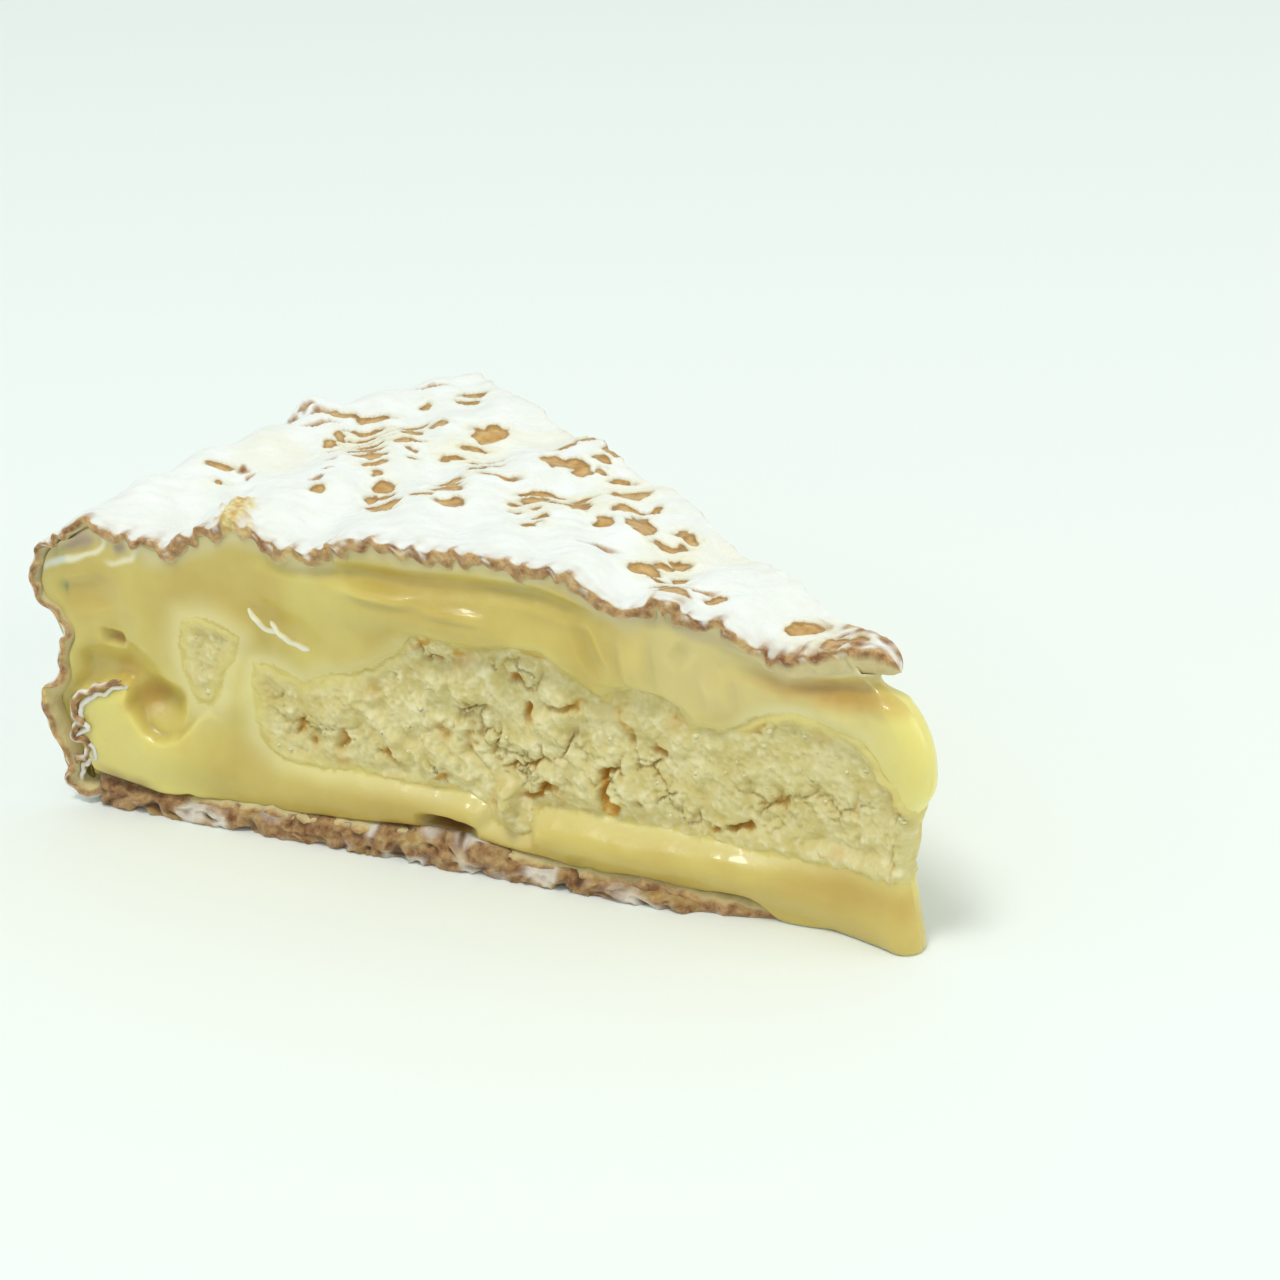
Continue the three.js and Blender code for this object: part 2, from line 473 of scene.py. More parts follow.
FIRST = {
    # The skin's line: over the top, down the rim and back under.
    "top": [
        (0.6, 38.4), (3, 39.2), (6, 39.2), (10, 38.2), (15, 36.6), (20, 37.8), (24, 40.4), (28, 40.4),
        (31, 42.2), (36, 40.2), (41, 41.8), (45, 44.2), (50, 44.0), (58, 44.8), (64, 44.0), (70, 44.6),
        (75, 44.2), (80, 42.0), (84, 41.4), (88, 43.2), (91, 44.0), (95, 43.2), (99, 41.8), (103, 39.4),
        (107, 40.0), (111, 41.0), (116, 41.2), (119.4, 39.2),
    ],
    "rim": [
        (122.2, 37.0), (123.7, 34), (124.0, 31), (121.4, 28.4), (119.8, 25), (121.2, 21.6),
        (121.4, 18.4), (123.4, 15), (122.8, 12), (121.6, 8.6), (120.6, 5.6), (121.0, 3.6), (119.6, 2.0),
    ],
    "under": [
        (116, 1.8), (108, 1.9), (100, 2.2), (92, 2.7), (84, 2.2), (76, 2.8), (68, 2.8), (60, 2.4),
        (52, 2.3), (44, 1.8), (34, 2.1), (26, 1.6), (18, 1.1), (8, 1.0),
    ],
    # The height of the lower roll's bottom edge.
    "foot": [
        [-5, -2], [5, -1.5], [8, 0], [10, 0.7], [13.5, -0.5], [17, 0], [21, 2.6], [24, 2.8], [29, 2.2],
        [34, 3.0], [39, 2.8], [43.5, 1.6], [48, 2.8], [56, 3.6], [63, 4.2], [70, 4.4], [78, 3.6], [87, 3.0],
        [97, 2.9], [105, 3.0], [110, 4.0], [118, 5.4],
    ],
    "relief": [
        # Grooves and thin ridges under the rind's edge.
        (-0.6, 1.8, [(92, 40.8), (84, 39.4), (76, 40.0), (68, 40.3)]),
        (-0.7, 2.0, [(82, 40.0), (69, 40.0), (60, 40.4), (46, 40.4)]),
        (-1.1, 1.9, [(60, 40.5), (49, 40.4), (42, 38.6), (38, 37)]),
        (0.6, 1.6, [(80, 38.2), (68, 38.0), (56, 38.2)]),
        (0.75, 1.2, [(77, 38.0), (71, 37.9), (65, 37.6)]),
        (0.75, 1.2, [(66, 37.0), (60, 36.9), (54, 36.5)]),
        # The upper roll, and the folds below it and towards the tip.
        (1.8, 4.4, [(84, 36.8), (72, 35.6), (62, 35.2), (54, 34.8), (47, 33.5), (40, 32), (34, 31.5)]),
        (1.5, 5.5, [(38, 32.5), (33, 33)]),
        (1.0, 4.0, [(27, 30), (22, 31)]),
        (-0.7, 1.6, [(44.5, 38.5), (42.5, 36), (41, 33), (39, 30)]),
        (-0.6, 2.5, [(30.5, 36.5), (28, 34.5)]),
        (-0.9, 2.2, [(26, 36.2), (21, 34.8), (15, 33.6)]),
        (-1.4, 1.9, [(20, 33.5), (9, 33.8), (2, 34.8), (-2, 35.2), (-20, 35.2)]),
        (1.0, 3.6, [(13, 30.8), (4, 30.5)]),
        # Near the rim: the slot, the swells round it, and the pit above the flap.
        (-1.6, 1.5, [(115.8, 25.4), (111, 25.0)]),
        (0.7, 4.5, [(108, 36), (107.2, 27), (106.5, 19)]),
        (-0.9, 5.0, [(115, 34), (113.5, 29)]),
        (0.8, 4.0, [(98, 32), (92, 30), (90, 26)]),
        (0.6, 3.0, [(95, 26), (93, 20), (97, 15)]),
        (0.5, 1.1, [(103, 30.6)]),
        (-1.6, 4.6, [(124, 15), (117, 20), (111, 21), (104, 19)]),
        (-2.7, 3.9, [(110.4, 18.0), (106.2, 16.8), (102.0, 15.8)]),
        # The lower roll, and the notch in it.
        (1.0, 5.5, [(112, 11), (100, 10), (92, 9)]),
        (0.8, 5.0, [
            (130, 8), (105, 8), (92, 7.2), (80, 7.4), (66, 8.2), (52, 7), (40, 6.4), (26, 6.4), (14, 5.4),
            (2, 3.6), (-8, 3),
        ]),
        (1.2, 4.2, [(72, 7.6), (62, 7.8), (52, 7), (40, 6.4), (26, 6.4), (14, 5.4), (2, 3.6), (-12, 3)]),
        (-3.2, 1.4, [(68.6, 5.6), (64, 5.9), (58.5, 5.2)]),
    ],
    "flap": [
        (119, 3), (118.4, 8), (118.4, 11), (118.6, 14), (117.5, 17), (114.5, 18.6), (112, 19.6),
        (110.7, 19.1), (110.0, 17.2), (109.7, 15.4), (108.9, 13.8), (107.3, 12.6), (105, 12.1),
        (103, 12.6), (101.6, 14.0), (100.2, 15.8), (98.6, 16.6), (95, 15), (95, 3),
    ],
    # The chalky heart, and a second patch of it nearer the rim.
    "heart": [
        (-3, 9.3), (-3, 14), (-2.5, 19.5), (0.3, 22), (2.4, 24.5), (3.8, 26.8), (5.3, 28.6), (9.3, 29.2),
        (15, 29.6), (18, 29.2), (20.5, 27.8), (22.5, 26.2), (25, 25.1), (28.5, 25.4), (30.5, 27),
        (33, 28.5), (37, 29.2), (39.5, 28.3), (40.7, 27), (42.2, 27), (44, 28.3), (46, 30.3),
        (49, 32.3), (54, 32.3), (58, 31.5), (62, 31.4), (66.5, 32), (68, 31.5), (70, 29), (73, 26.5),
        (77, 25.2), (80, 24.8), (84, 23), (88, 25), (91, 25), (91.5, 21), (91, 14), (88, 11),
        (80, 10.5), (70, 10.3), (60, 10), (57.6, 9), (57.4, 6.8), (54.2, 5.5), (52, 6.5), (51, 9),
        (48, 10), (40, 9.7), (30, 9.6), (20, 9.2), (8, 9.3),
    ],
    "islet": [
        (98, 30.6), (94.6, 30.2), (92.2, 28.6), (93.2, 26), (95.2, 22.5), (96.4, 19.6), (97.6, 17.4),
        (100.4, 17), (101.6, 21), (102.4, 26), (101, 29.6),
    ],
    "cracks": [
        (2.0, 1.0, [(56.5, 28.6), (53.5, 27.6), (51.0, 27.0)]),
        (2.8, 1.1, [(52, 25.5), (51.2, 22.5), (52.5, 21)]),
        (1.8, 0.9, [(49.5, 25), (46, 25.2), (43, 26)]),
        (3.0, 1.1, [(41.5, 18), (41.5, 13), (40.5, 10.5), (43, 10.3)]),
        (2.8, 1.0, [(54.5, 10.8), (50, 12.3), (47, 14), (44.5, 15.5)]),
        (2.0, 0.8, [(38.5, 23.4), (37, 21), (37.5, 20)]),
        (2.0, 0.8, [(35.5, 22.5), (33, 20), (31, 19.3)]),
        (2.4, 0.9, [(39.6, 11), (37.5, 12.5), (35.8, 13.5)]),
        (2.8, 0.9, [(27, 10.6), (24, 11.3), (20.5, 12.8)]),
        (2.0, 1.0, [(73, 13.5), (71.5, 14.5), (71.5, 12.3)]),
        (1.4, 2.4, [(86, 19), (84.5, 14), (85.5, 16.5)]),
        (1.5, 1.6, [(79.5, 14.0), (77.5, 17.0)]),
        (1.2, 1.6, [(66, 20), (63, 17)]),
        (1.3, 1.2, [(60, 24), (59, 19), (61, 15)]),
        (1.8, 0.9, [(22, 26), (19.8, 26.3), (17.8, 28.6)]),
        (1.2, 0.8, [(17.5, 17), (16.5, 15.5)]),
        (1.0, 1.0, [(7.5, 19), (6.5, 16), (6.7, 12)]),
        (1.2, 0.8, [(12.5, 10.5), (10, 10.8)]),
        (0.9, 0.7, [(34, 28), (30, 25.5), (26, 24)]),
        (1.4, 0.8, [(68.5, 29.5), (66.5, 31.0), (64, 29.5)]),
    ],
    # Painted warm shade, mostly: in the groove under the tongue, the slot, the pit and the recess near the
    # rim, the groove under the rind and under the lip.
    "amber": [
        (0.75, 2.6, [(24, 34.4), (15, 33.3), (8, 33.2), (-8, 34.6)]),
        (0.7, 3.2, [(109.8, 18.8), (108.2, 17.0), (106.6, 14.8)]),
        (0.5, 3.4, [(114, 20.8), (108, 19.6)]),
        (0.8, 1.3, [(115.3, 25.2), (111.3, 24.9)]),
        (0.25, 1.8, [(74, 40.0), (69, 39.9), (62, 40.1), (50, 40.2)]),
        (0.35, 4.0, [(22, 7.0), (2, 7.5), (-14, 6.5)]),
        (0.5, 1.5, [(53, 31.8), (48, 31)]),
        (0.5, 1.2, [(19, 27.6), (21, 26)]),
        (0.25, 6.0, [(116, 33), (113, 28)]),
    ],
    "lilac": [
        (0.95, 2.7, [(119.6, 38.0), (114.6, 39.8)]),
        (0.9, 1.9, [(122.4, 34.6), (121, 36.4)]),
        (0.9, 1.7, [(111.8, 38.2), (108.8, 39.4)]),
        (0.8, 1.8, [(122, 12), (120.6, 8.5)]),
        (0.35, 1.6, [(45, 41), (30, 39.5), (16, 35.4)]),
    ],
    "white": [
        (0.95, 0.8, [(122.4, 32.4), (119, 35.2), (115, 36.8), (113.0, 38.4), (112.6, 42.5)]),
        (0.9, 0.7, [(112.6, 37.2), (110.8, 36.4), (108.2, 37.4), (106.8, 39.6)]),
        (0.7, 0.6, [(121.5, 34.6), (122, 31)]),
        (0.7, 0.8, [(118.4, 8.8), (116.8, 7.2)]),
    ],
    # Painted shade in the notch of the lower roll and under the roll at the rim's foot.
    "brown": [
        (1.0, 1.7, [(68.6, 5.2), (64, 5.4), (58.5, 4.8)]),
        (0.8, 3.4, [(119, 4.6), (114, 3.8), (106, 2.4)]),
    ],
}

SECOND = {
    "top": [
        (0.6, 38.4), (3, 39.0), (6, 39.2), (14, 38.0), (20, 38.4), (26, 39.4), (32, 39.0), (38, 38.2),
        (44, 39.2), (50, 40.6), (56, 41.2), (62, 40.2), (67, 40.6), (73, 41.8), (78, 41.6), (84, 40.0),
        (90, 40.4), (96, 41.6), (102, 40.8), (108, 40.4), (114, 40.8), (119.2, 38.8),
    ],
    "rim": [
        (121.8, 36.6), (123.2, 33.4), (122.6, 29.4), (120.8, 26.0), (120.2, 22.5), (121.4, 19),
        (122.8, 15.6), (123.0, 12), (121.8, 8.6), (121.0, 6), (121.2, 3.6), (119.6, 2.0),
    ],
    "under": [
        (115, 1.9), (105, 2.1), (94, 2.6), (84, 2.2), (74, 1.9), (66, 2.5), (56, 2.1), (44, 1.8),
        (32, 2.1), (20, 1.3), (8, 1.0),
    ],
    "foot": [
        [-5, -2], [5, -1.5], [9, 0.6], [16, 1.4], [24, 2.4], [33, 1.8], [44, 3.2], [55, 2.6], [66, 3.4],
        [79, 2.6], [92, 3.8], [104, 3.0], [118, 4.6],
    ],
    "relief": [
        (-1.4, 2.2, [(96, 38.6), (84, 37.8), (70, 38.4)]),
        (1.7, 4.6, [(112, 34), (98, 34.6), (84, 34.2), (68, 34.8), (50, 32.6), (36, 33.2), (24, 31.4)]),
        (1.1, 5.5, [(58, 31.5), (50, 31)]),
        (-1.8, 2.2, [(44, 37.4), (30, 37), (20, 36)]),
        (-1.6, 1.8, [(20, 34.2), (9, 33.6), (3, 34.6), (-2, 35.2), (-20, 35.2)]),
        (-1.4, 2.0, [(108, 21), (103, 18.5)]),
        (1.8, 4.6, [(124, 8), (98, 7), (80, 7.6), (60, 7), (42, 6.4), (24, 6.2), (2, 3.6), (-8, 3)]),
        (-1.0, 1.6, [(76, 31), (70, 29)]),
        (0.9, 5.0, [(112, 28), (106, 24)]),
        (-2.4, 1.4, [(37, 5.2), (31, 5)]),
    ],
    "flap": [(0, -9), (1, -9), (1, -8)],
    "heart": [
        (-3, 9.3), (-3, 14), (-2.5, 19.5), (0.3, 22), (2.4, 24.5), (5, 27.4), (10, 28.6), (16, 28.0),
        (21, 26.2), (26, 27.6), (31, 29.4), (37, 29.8), (43, 27.4), (48, 26.0), (54, 26.6), (59, 29.0),
        (66, 30.6), (73, 29.2), (79, 27.6), (86, 27.8), (91, 25), (95, 21), (93, 16), (88, 13), (81, 12),
        (74, 10.4), (62, 10.8), (52, 9.4), (40, 10.2), (28, 9.2), (16, 9.8), (6, 9.2),
    ],
    "islet": [(99, 28), (98, 25), (101, 23.6), (104, 25), (103, 27.6)],
    "cracks": [
        (2.6, 1.1, [(28, 26), (31, 22), (29.5, 18)]),
        (2.6, 1.0, [(50, 13), (55, 16), (60, 15.4)]),
        (2.4, 0.9, [(70, 27), (66, 23), (67, 18)]),
        (2.4, 0.9, [(14, 13), (19, 12), (24, 13.4)]),
        (2.0, 1.8, [(83, 21), (81, 15)]),
        (1.8, 0.9, [(40, 25), (45, 23), (47, 19)]),
        (1.6, 1.0, [(74, 13), (78, 12.6)]),
        (1.4, 0.8, [(8, 22), (11, 18)]),
        (1.6, 0.8, [(58, 25), (62, 22.6)]),
        (1.8, 0.8, [(35, 12), (39, 14.4), (41, 12.6)]),
    ],
    # Painted warm shade in the grooves, the dent near the rim and under the lip.
    "amber": [
        (0.85, 2.3, [(19, 34.2), (9, 33.6), (3, 34.6)]),
        (0.6, 2.2, [(108, 21), (103, 18.5)]),
        (0.4, 2.0, [(96, 38.6), (84, 37.8), (70, 38.4)]),
        (0.5, 1.6, [(52, 27), (46, 26.6)]),
    ],
    "lilac": [(0.9, 1.7, [(118, 38), (116, 38.6)]), (0.7, 1.2, [(121.6, 14)])],
    "white": [(0.8, 0.7, [(120, 35.2), (116, 36.4), (113.6, 38.6)])],
    # Painted shade in the notch and under the roll at the rim's foot.
    "brown": [(1.0, 1.6, [(37, 4.8), (31, 4.6)]), (0.6, 2.4, [(118, 4.2), (108, 2.8)])],
}

# How far the tip reaches past the wheel's centre at each height: foot, waist, belly, neck, tongue.
TIP_REACH = [
    [0, 2.5], [3, 1.9], [7, 1.2], [10, 0.9], [15, 1.5], [18.5, 2.1], [20.5, 3.0], [22.5, 3.8], [26, 4.0],
    [29.5, 3.2], [32, 1.6], [34, -0.6], [36, -3.0], [38, -2.0], [42, -1.4],
]
NOSE_HALF_WIDTH = 2.6
NOSE_END = -2.0  # where the nose would end if it weren't drawn forward or back
NOSE_PULL = 14.0  # how far from its end the nose is drawn


def half_width(distance):
    """Half the wedge's width at a distance from the centre: the sector's, eased into the nose's."""
    sector = distance * math.sin(HALF_ANGLE)
    blend_over = 0.8
    gap = np.sqrt((sector - NOSE_HALF_WIDTH) ** 2 + blend_over**2)
    return 0.5 * (sector + NOSE_HALF_WIDTH + gap)


def wrap_path(first_spacing, second_spacing, reach_from):
    """The cut faces in plan, as one path from a distance on the second cut, round the nose, to
    the same distance on the first. Gives its places, its outward directions, each place's
    distance from the centre and whether it is on the first cut's side."""
    reach = np.linspace(reach_from, NOSE_END + NOSE_HALF_WIDTH, 1500)
    width = half_width(reach)
    turn = np.linspace(0.0, math.pi / 2, 60)[1:]
    reach = np.concatenate([reach, NOSE_END + NOSE_HALF_WIDTH * (1.0 - np.sin(turn))])
    width = np.concatenate([width, width[-1] * np.cos(turn)])
    side = np.concatenate([width, -width[-2::-1]])
    reach = np.concatenate([reach, reach[-2::-1]])
    plan = np.stack([TIP_X - reach * math.cos(HALF_ANGLE), side, reach], 1)
    plan = respaced(plan, np.where(side < 1.0, first_spacing, second_spacing))
    ahead = np.gradient(plan[:, :2], axis=0)
    out = np.stack([-ahead[:, 1], ahead[:, 0]], 1)
    out /= np.linalg.norm(out, axis=1, keepdims=True)
    if out[len(plan) // 2, 0] < 0.0:
        out = -out
    return plan[:, :2], out, plan[:, 2], plan[:, 1] < 0.0


def on_cuts(path, z, stand_out):
    """Points on the cut faces: each column's place in plan moved outwards by its relief, and the
    nose drawn forward or back by the tip's reach at that height."""
    plan, out, reach, _ = path
    pull = ease(1.0 - (reach - NOSE_END) / NOSE_PULL)[:, None]
    shift = (through(TIP_REACH, z) + NOSE_END) * pull
    x = plan[:, None, 0] + out[:, None, 0] * stand_out + shift
    y = plan[:, None, 1] + out[:, None, 1] * stand_out
    return np.stack([x, y, z], -1)


def wrap_round_body(name, path, face, masks):
    """A solid body from the points of its wrap-round face: each column is closed by a few points
    well inside the wedge, drawn back from the nose and towards the middle. They take the masks
    of the rows that they are picked from."""
    plan, _, reach, _ = path
    closing_points = 6
    margin = 7
    pick = np.linspace(face.shape[1] - 1 - margin, margin, closing_points).astype(int)
    inner = face[:, pick].copy()
    inner[..., 0] = TIP_X - (14.0 + reach[:, None] * 0.85) * math.cos(HALF_ANGLE)
    inner[..., 1] = plan[:, None, 1] * 0.3
    closed = {key: np.concatenate([values, values[:, pick]], 1) for key, values in masks.items()}
    return add_tube(name, np.concatenate([face, inner], 1), closed)


def on_side(first, places, make):
    """make(cut, *places) worked out on each cut for the places that lie on it."""
    result = np.zeros(first.shape)
    for cut, here in ((FIRST, first), (SECOND, ~first)):
        result[here] = make(cut, *[place[here] for place in places])
    return result


def drawn(first, s, z, key):
    """The strokes under one heading, for whichever cut each place is on."""
    return on_side(first, (s, z), lambda cut, s, z: strokes(s, z, cut[key]))


# How far the cream stands above the heart where they meet, by distance from the wheel's centre.
LIP_HEIGHT = [[-5, 0.2], [8, 0.3], [15, 0.5], [22, 1.2], [74, 1.2], [84, 0.3], [120, 0.0]]


def cream_relief(first, s, z, flat):
    """How far the cream stands out of the cut: its strokes, and slow waves in it."""
    return drawn(first, s, z, "relief") + 0.3 * noise(flat, 13.0, 3) + 0.10 * noise(flat, 4.0, 4)


def heart_depth(first, s, z, flat, crumbly):
    """How deep a place is inside the chalky heart. The curd's own edge is crumbly: noise roughens
    it more than the edge of the cream round it."""
    outlines = [
        on_side(first, (s, z), lambda cut, s, z: depth_in(s, z, cut[key])) for key in ("heart", "islet")
    ]
    smooth = np.maximum(*outlines) + 0.5 * noise(flat, 5.0, 10)
    crumbs = 0.7 * noise(flat, 2.6, 11) + 0.4 * noise(flat, 1.2, 12) + 0.2 * noise(flat, 0.5, 13)
    return smooth + crumbly * crumbs


def face_grid(path, low, high, rows):
    """Distances, heights and flat noise places of a grid on the cut faces. The noise places of the
    two cuts lie far apart, and the grid runs from low to high in even rows."""
    _, _, reach, first = path
    s = np.repeat(reach[:, None], rows, 1)
    first = np.repeat(first[:, None], rows, 1)
    z = low + (high - low) * np.linspace(0.0, 1.0, rows)[None, :]
    z = np.broadcast_to(z, s.shape).copy()
    flat = np.stack([s, z, np.where(first, 0.5, 60.5)], -1)
    return first, s, z, flat


# ---------------------------------------------------------------- the paste

CREAM_SPACING = (0.30, 0.62)  # between the face's columns, on the first cut and on the second
CREAM_ROWS = 118
# How far the cream's top lies below the skin's line, by distance from the wheel's centre: the skin
# is thick at the tip.
SKIN_DEPTH = [[0, 1.3], [6, 1.5], [12, 1.4], [20, 0.5], [26, 0.25]]
PIT = [(110, 17), (104, 15)]  # along the floor of the pit near the rim, which is dry


def rim_distance(cut, z):
    """How far from the wheel's centre a cut's rim lies at each height."""
    return through(sorted([height, distance] for distance, height in [*cut["rim"], cut["top"][-1]]), z)


def cream_piece():
    """The runny cream: one closed body whose face wraps round both cuts and the tip. Its relief is
    a sum of soft strokes, with the heart's place sunk behind a rounded lip."""
    path = wrap_path(*CREAM_SPACING, CUT_END)
    reach, first_column = path[2], path[3]
    top = np.where(first_column, through(FIRST["top"], reach), through(SECOND["top"], reach))
    top = (top - through(SKIN_DEPTH, reach))[:, None]
    first, s, z, flat = face_grid(path, 0.15, top, CREAM_ROWS)
    foot = on_side(first, (s,), lambda cut, s: through(cut["foot"], s))

    stand_out = cream_relief(first, s, z, flat)
    nudge = 0.45 * noise(flat, 2.2, 7)
    flap_depth = on_side(first, (s + nudge, z - nudge), lambda cut, s, z: depth_in(s, z, cut["flap"]))
    flap = ease(flap_depth / 0.9 + 0.3) * ease((s - 94.0) / 14.0)
    stand_out += 2.0 * flap
    under_roll = ease((foot - z + 0.6) / 1.6)
    stand_out -= under_roll * ease((s - 10.0) / 8.0) + 1.4 * ease((foot + 0.8 - z) / 4.0)
    stand_out *= ease((CUT_END - s) / 3.0)

    # The heart's place is sunk behind a rounded lip.
    depth = heart_depth(first, s, z, flat, 0.15)
    lip_height = through(LIP_HEIGHT, s)
    lip = np.clip(1.0 + depth / 2.4, 0.0, 1.0) ** 2.2
    shelf = through([[0, 0.3], [24, 1.2]], s)
    sunk = lip_height + 5.0 * ease((depth - shelf) / 1.5)
    stand_out -= np.where(depth < 0.0, lip_height * lip, sunk)
    stand_out = np.maximum(stand_out, 0.5 - 0.95 * half_width(np.maximum(s, 0.0)))

    points = on_cuts(path, z, stand_out)
    # Towards the cut's end the face is drawn in or out to meet the rim's skin.
    rim = on_side(first, (z,), rim_distance)
    end = ease((s - 106.0) / 14.0) * (rim - 0.9 - CUT_END)
    along = np.where(first, ALONG_FIRST[1], -ALONG_FIRST[1])
    points[..., 0] += end * ALONG_FIRST[0]
    points[..., 1] += end * along

    below_skin = top - z + 0.8 * noise(flat, 3.0, 6)
    stir, stir_up = 0.5 * noise(flat, 2.4, 8), 0.5 * noise(flat, 2.4, 9)
    # The amber and brown strokes are painted shade; the lilac and white ones are the paste's own marks.
    marks_and_painted_shade = ("amber", "brown", "lilac", "white")
    masks = {key: drawn(first, s + stir, z + stir_up, key) for key in marks_and_painted_shade}
    # Painted shade: warm towards the foot, and brown under the lower roll.
    masks["amber"] += 0.25 * ease((10.0 - z) / 6.0) * ease((94.0 - s) / 14.0)
    masks["brown"] += 0.75 * under_roll * ease((s - 14.0) / 8.0) * ease((119.0 - s) / 4.0)
    # Painted light: a glow near the tip, where light comes through the thin paste, and light on the flap.
    near_tip = ease(1.0 - (s + 6.0) / 16.0) * (0.45 + 0.55 * ease((z - 8.0) / 12.0))
    masks["painted_light"] = 0.85 * near_tip + 0.5 * flap
    by_heart = ease(1.0 + depth / through([[40, 2.0], [84, 3.5], [100, 4.5]], s)) * (depth < 0)
    pale_band = ease((42.0 - s) / 12.0) * ease((s + 2.0) / 10.0) * ease((z - 22.0) / 8.0)
    masks["pale"] = 0.5 * by_heart * ease((s + 2.0) / 24.0) + 0.45 * pale_band
    masks["beige"] = 0.9 * ease(1.0 - (below_skin - 0.6) / 3.2)
    masks["moist"] = 0.5 - 0.45 * hill(distance_to(s, z, PIT) / 6.0)
    uncovered = ease((below_skin - 0.5) / 1.8) * ease((121.0 - s) / 4.0)
    masks["open"] = ease(-0.1 - depth / 2.0) * uncovered
    return wrap_round_body("runny_cream", path, points, masks)


HEART_SPACING = (0.22, 0.5)  # between the face's columns, on the first cut and on the second
HEART_ROWS = 126
HEART_END = 105.6  # how far from the wheel's centre the curd's body reaches
# The knob of curd that stands in the lower roll near the middle of the first cut.
CHUNK = [(2.6, 3.6, [(55, 13.0), (55, 6.3)])]


def heart_piece():
    """The chalky heart: a closed body of crumbly curd showing between the runny layers. Its relief
    is clumps on clumps, less the cracks; noise bends the places so that no crack runs straight."""
    path = wrap_path(*HEART_SPACING, HEART_END)
    first, s, z, flat = face_grid(path, 4.6, 34.0, HEART_ROWS)
    bent = flat.copy()
    bent[..., :2] += 1.3 * two_noises(flat, 3.4, 21, 22) + 0.6 * two_noises(flat, 1.1, 23, 24)
    bent[..., :2] += 0.22 * two_noises(flat, 0.5, 36, 37)

    broken = ease(0.75 + 1.1 * noise(flat, 2.4, 30))
    cracks = drawn(first, bent[..., 0], bent[..., 1], "cracks") * 0.8 * broken
    lumpy = through([[0, 0.4], [26, 0.6], [40, 1.0], [72, 1.0], [84, 0.5], [92, 0.3]], s)
    clod, clod_crease = clumps(bent, 5.5, 25)
    lump, lump_crease = clumps(bent, 2.4, 26)
    crumb, _ = clumps(bent, 1.0, 27)
    # Each clump is level on top and falls away at its edge.
    clod, lump = np.tanh(3.0 * clod), np.tanh(2.4 * lump)
    open_crease = lumpy * ease(0.1 + 1.6 * noise(flat, 7.0, 31))
    cracks += open_crease * (1.5 * hill(clod_crease / 0.11) + 0.7 * hill(lump_crease / 0.16))
    crumbs = lumpy * (0.85 * clod + 0.28 * lump) + 0.24 * crumb + 0.13 * noise(flat, 0.55, 28)
    crumbs += 0.22 * rough(flat, 1.6, 3, 33) + 0.15 * np.abs(noise(flat, 1.0, 38))
    usual = lumpy + 0.2
    ledge = ease(0.5 + 4.5 * noise(bent, 9.0, 34)) + 0.6 * ease(0.5 + 4.5 * noise(bent, 4.0, 35))
    level = through([[70, -1.3], [82, -0.3], [92, 0.0]], s) + 0.7 * noise(flat, 12.0, 29)
    stand_out = level + 0.85 * lumpy * (ledge - 0.8) + crumbs - usual - cracks
    stand_out += ease((s - 78.0) / 10.0) * drawn(first, s, z, "relief")
    stand_out += np.where(first, strokes(bent[..., 0], bent[..., 1], CHUNK), 0.0)
    # Towards its edge the curd comes up to the cream.
    depth = heart_depth(first, s, z, flat, 1.0)
    meet = cream_relief(first, s, z, flat) - through(LIP_HEIGHT, s) + 0.35 * (crumbs - usual)
    meet += 0.3 - 0.6 * ease((1.2 - depth) / 1.8)
    near = ease(1.0 - (depth - 0.9) / 2.2)
    stand_out = stand_out * (1.0 - near) + meet * near
    stand_out -= 4.0 * ease(-depth / 2.0) + 4.0 * ease((s - 103.4) / 2.0)
    stand_out = np.maximum(stand_out, 0.9 - 0.9 * half_width(np.maximum(s, 0.0)))

    # How far in from its edge the curd is turning to cream.
    melting = through([[0, 1.0], [60, 1.0], [84, 2.6]], s)
    melting += 2.4 * ease((25.0 - s) / 6.0) * ease((z - 17.0) / 4.0)
    stains = ease(2.2 * noise(flat, 4.5, 39) - 0.4) * ease(1.4 - depth / 4.0)
    # Painted light on the tops of the lumps and painted warm shade between them and in the cracks; the
    # stains are the curd's own amber.
    masks = {
        "painted_hollow_shade": ease((usual + 0.05 - crumbs) / 0.9),
        "painted_crest_light": ease((crumbs - usual) / 0.5),
        "amber": ease((cracks - 0.2) / 1.3) + 0.4 * stains,
        "shown": ease(depth - 0.3) * (cracks < 1.0),
        "creamy": 0.9 * ease(1.0 - depth / melting),
    }
    return wrap_round_body("chalky_heart", path, on_cuts(path, z, stand_out), masks)


# ---------------------------------------------------------------- the rind

# Stations along the way over the top, down the rim and under the wedge, and points across the
# felt at each.
TOP_STATIONS, RIM_STATIONS, UNDER_STATIONS = 300, 96, 84
ACROSS = 176
WRINKLE_REACH = 3.2  # how far the wrinkles of a cut edge run into the rind

# The straw mat that the wheel lay on marked its top. Its straws ran at this angle to the wedge's
# middle line, and its ties crossed them.
STRAW_ANGLE = math.radians(-43.0)
TIE_ANGLE = math.radians(37.0)
TIE_SPACING = 8.6  # from one tie to the next

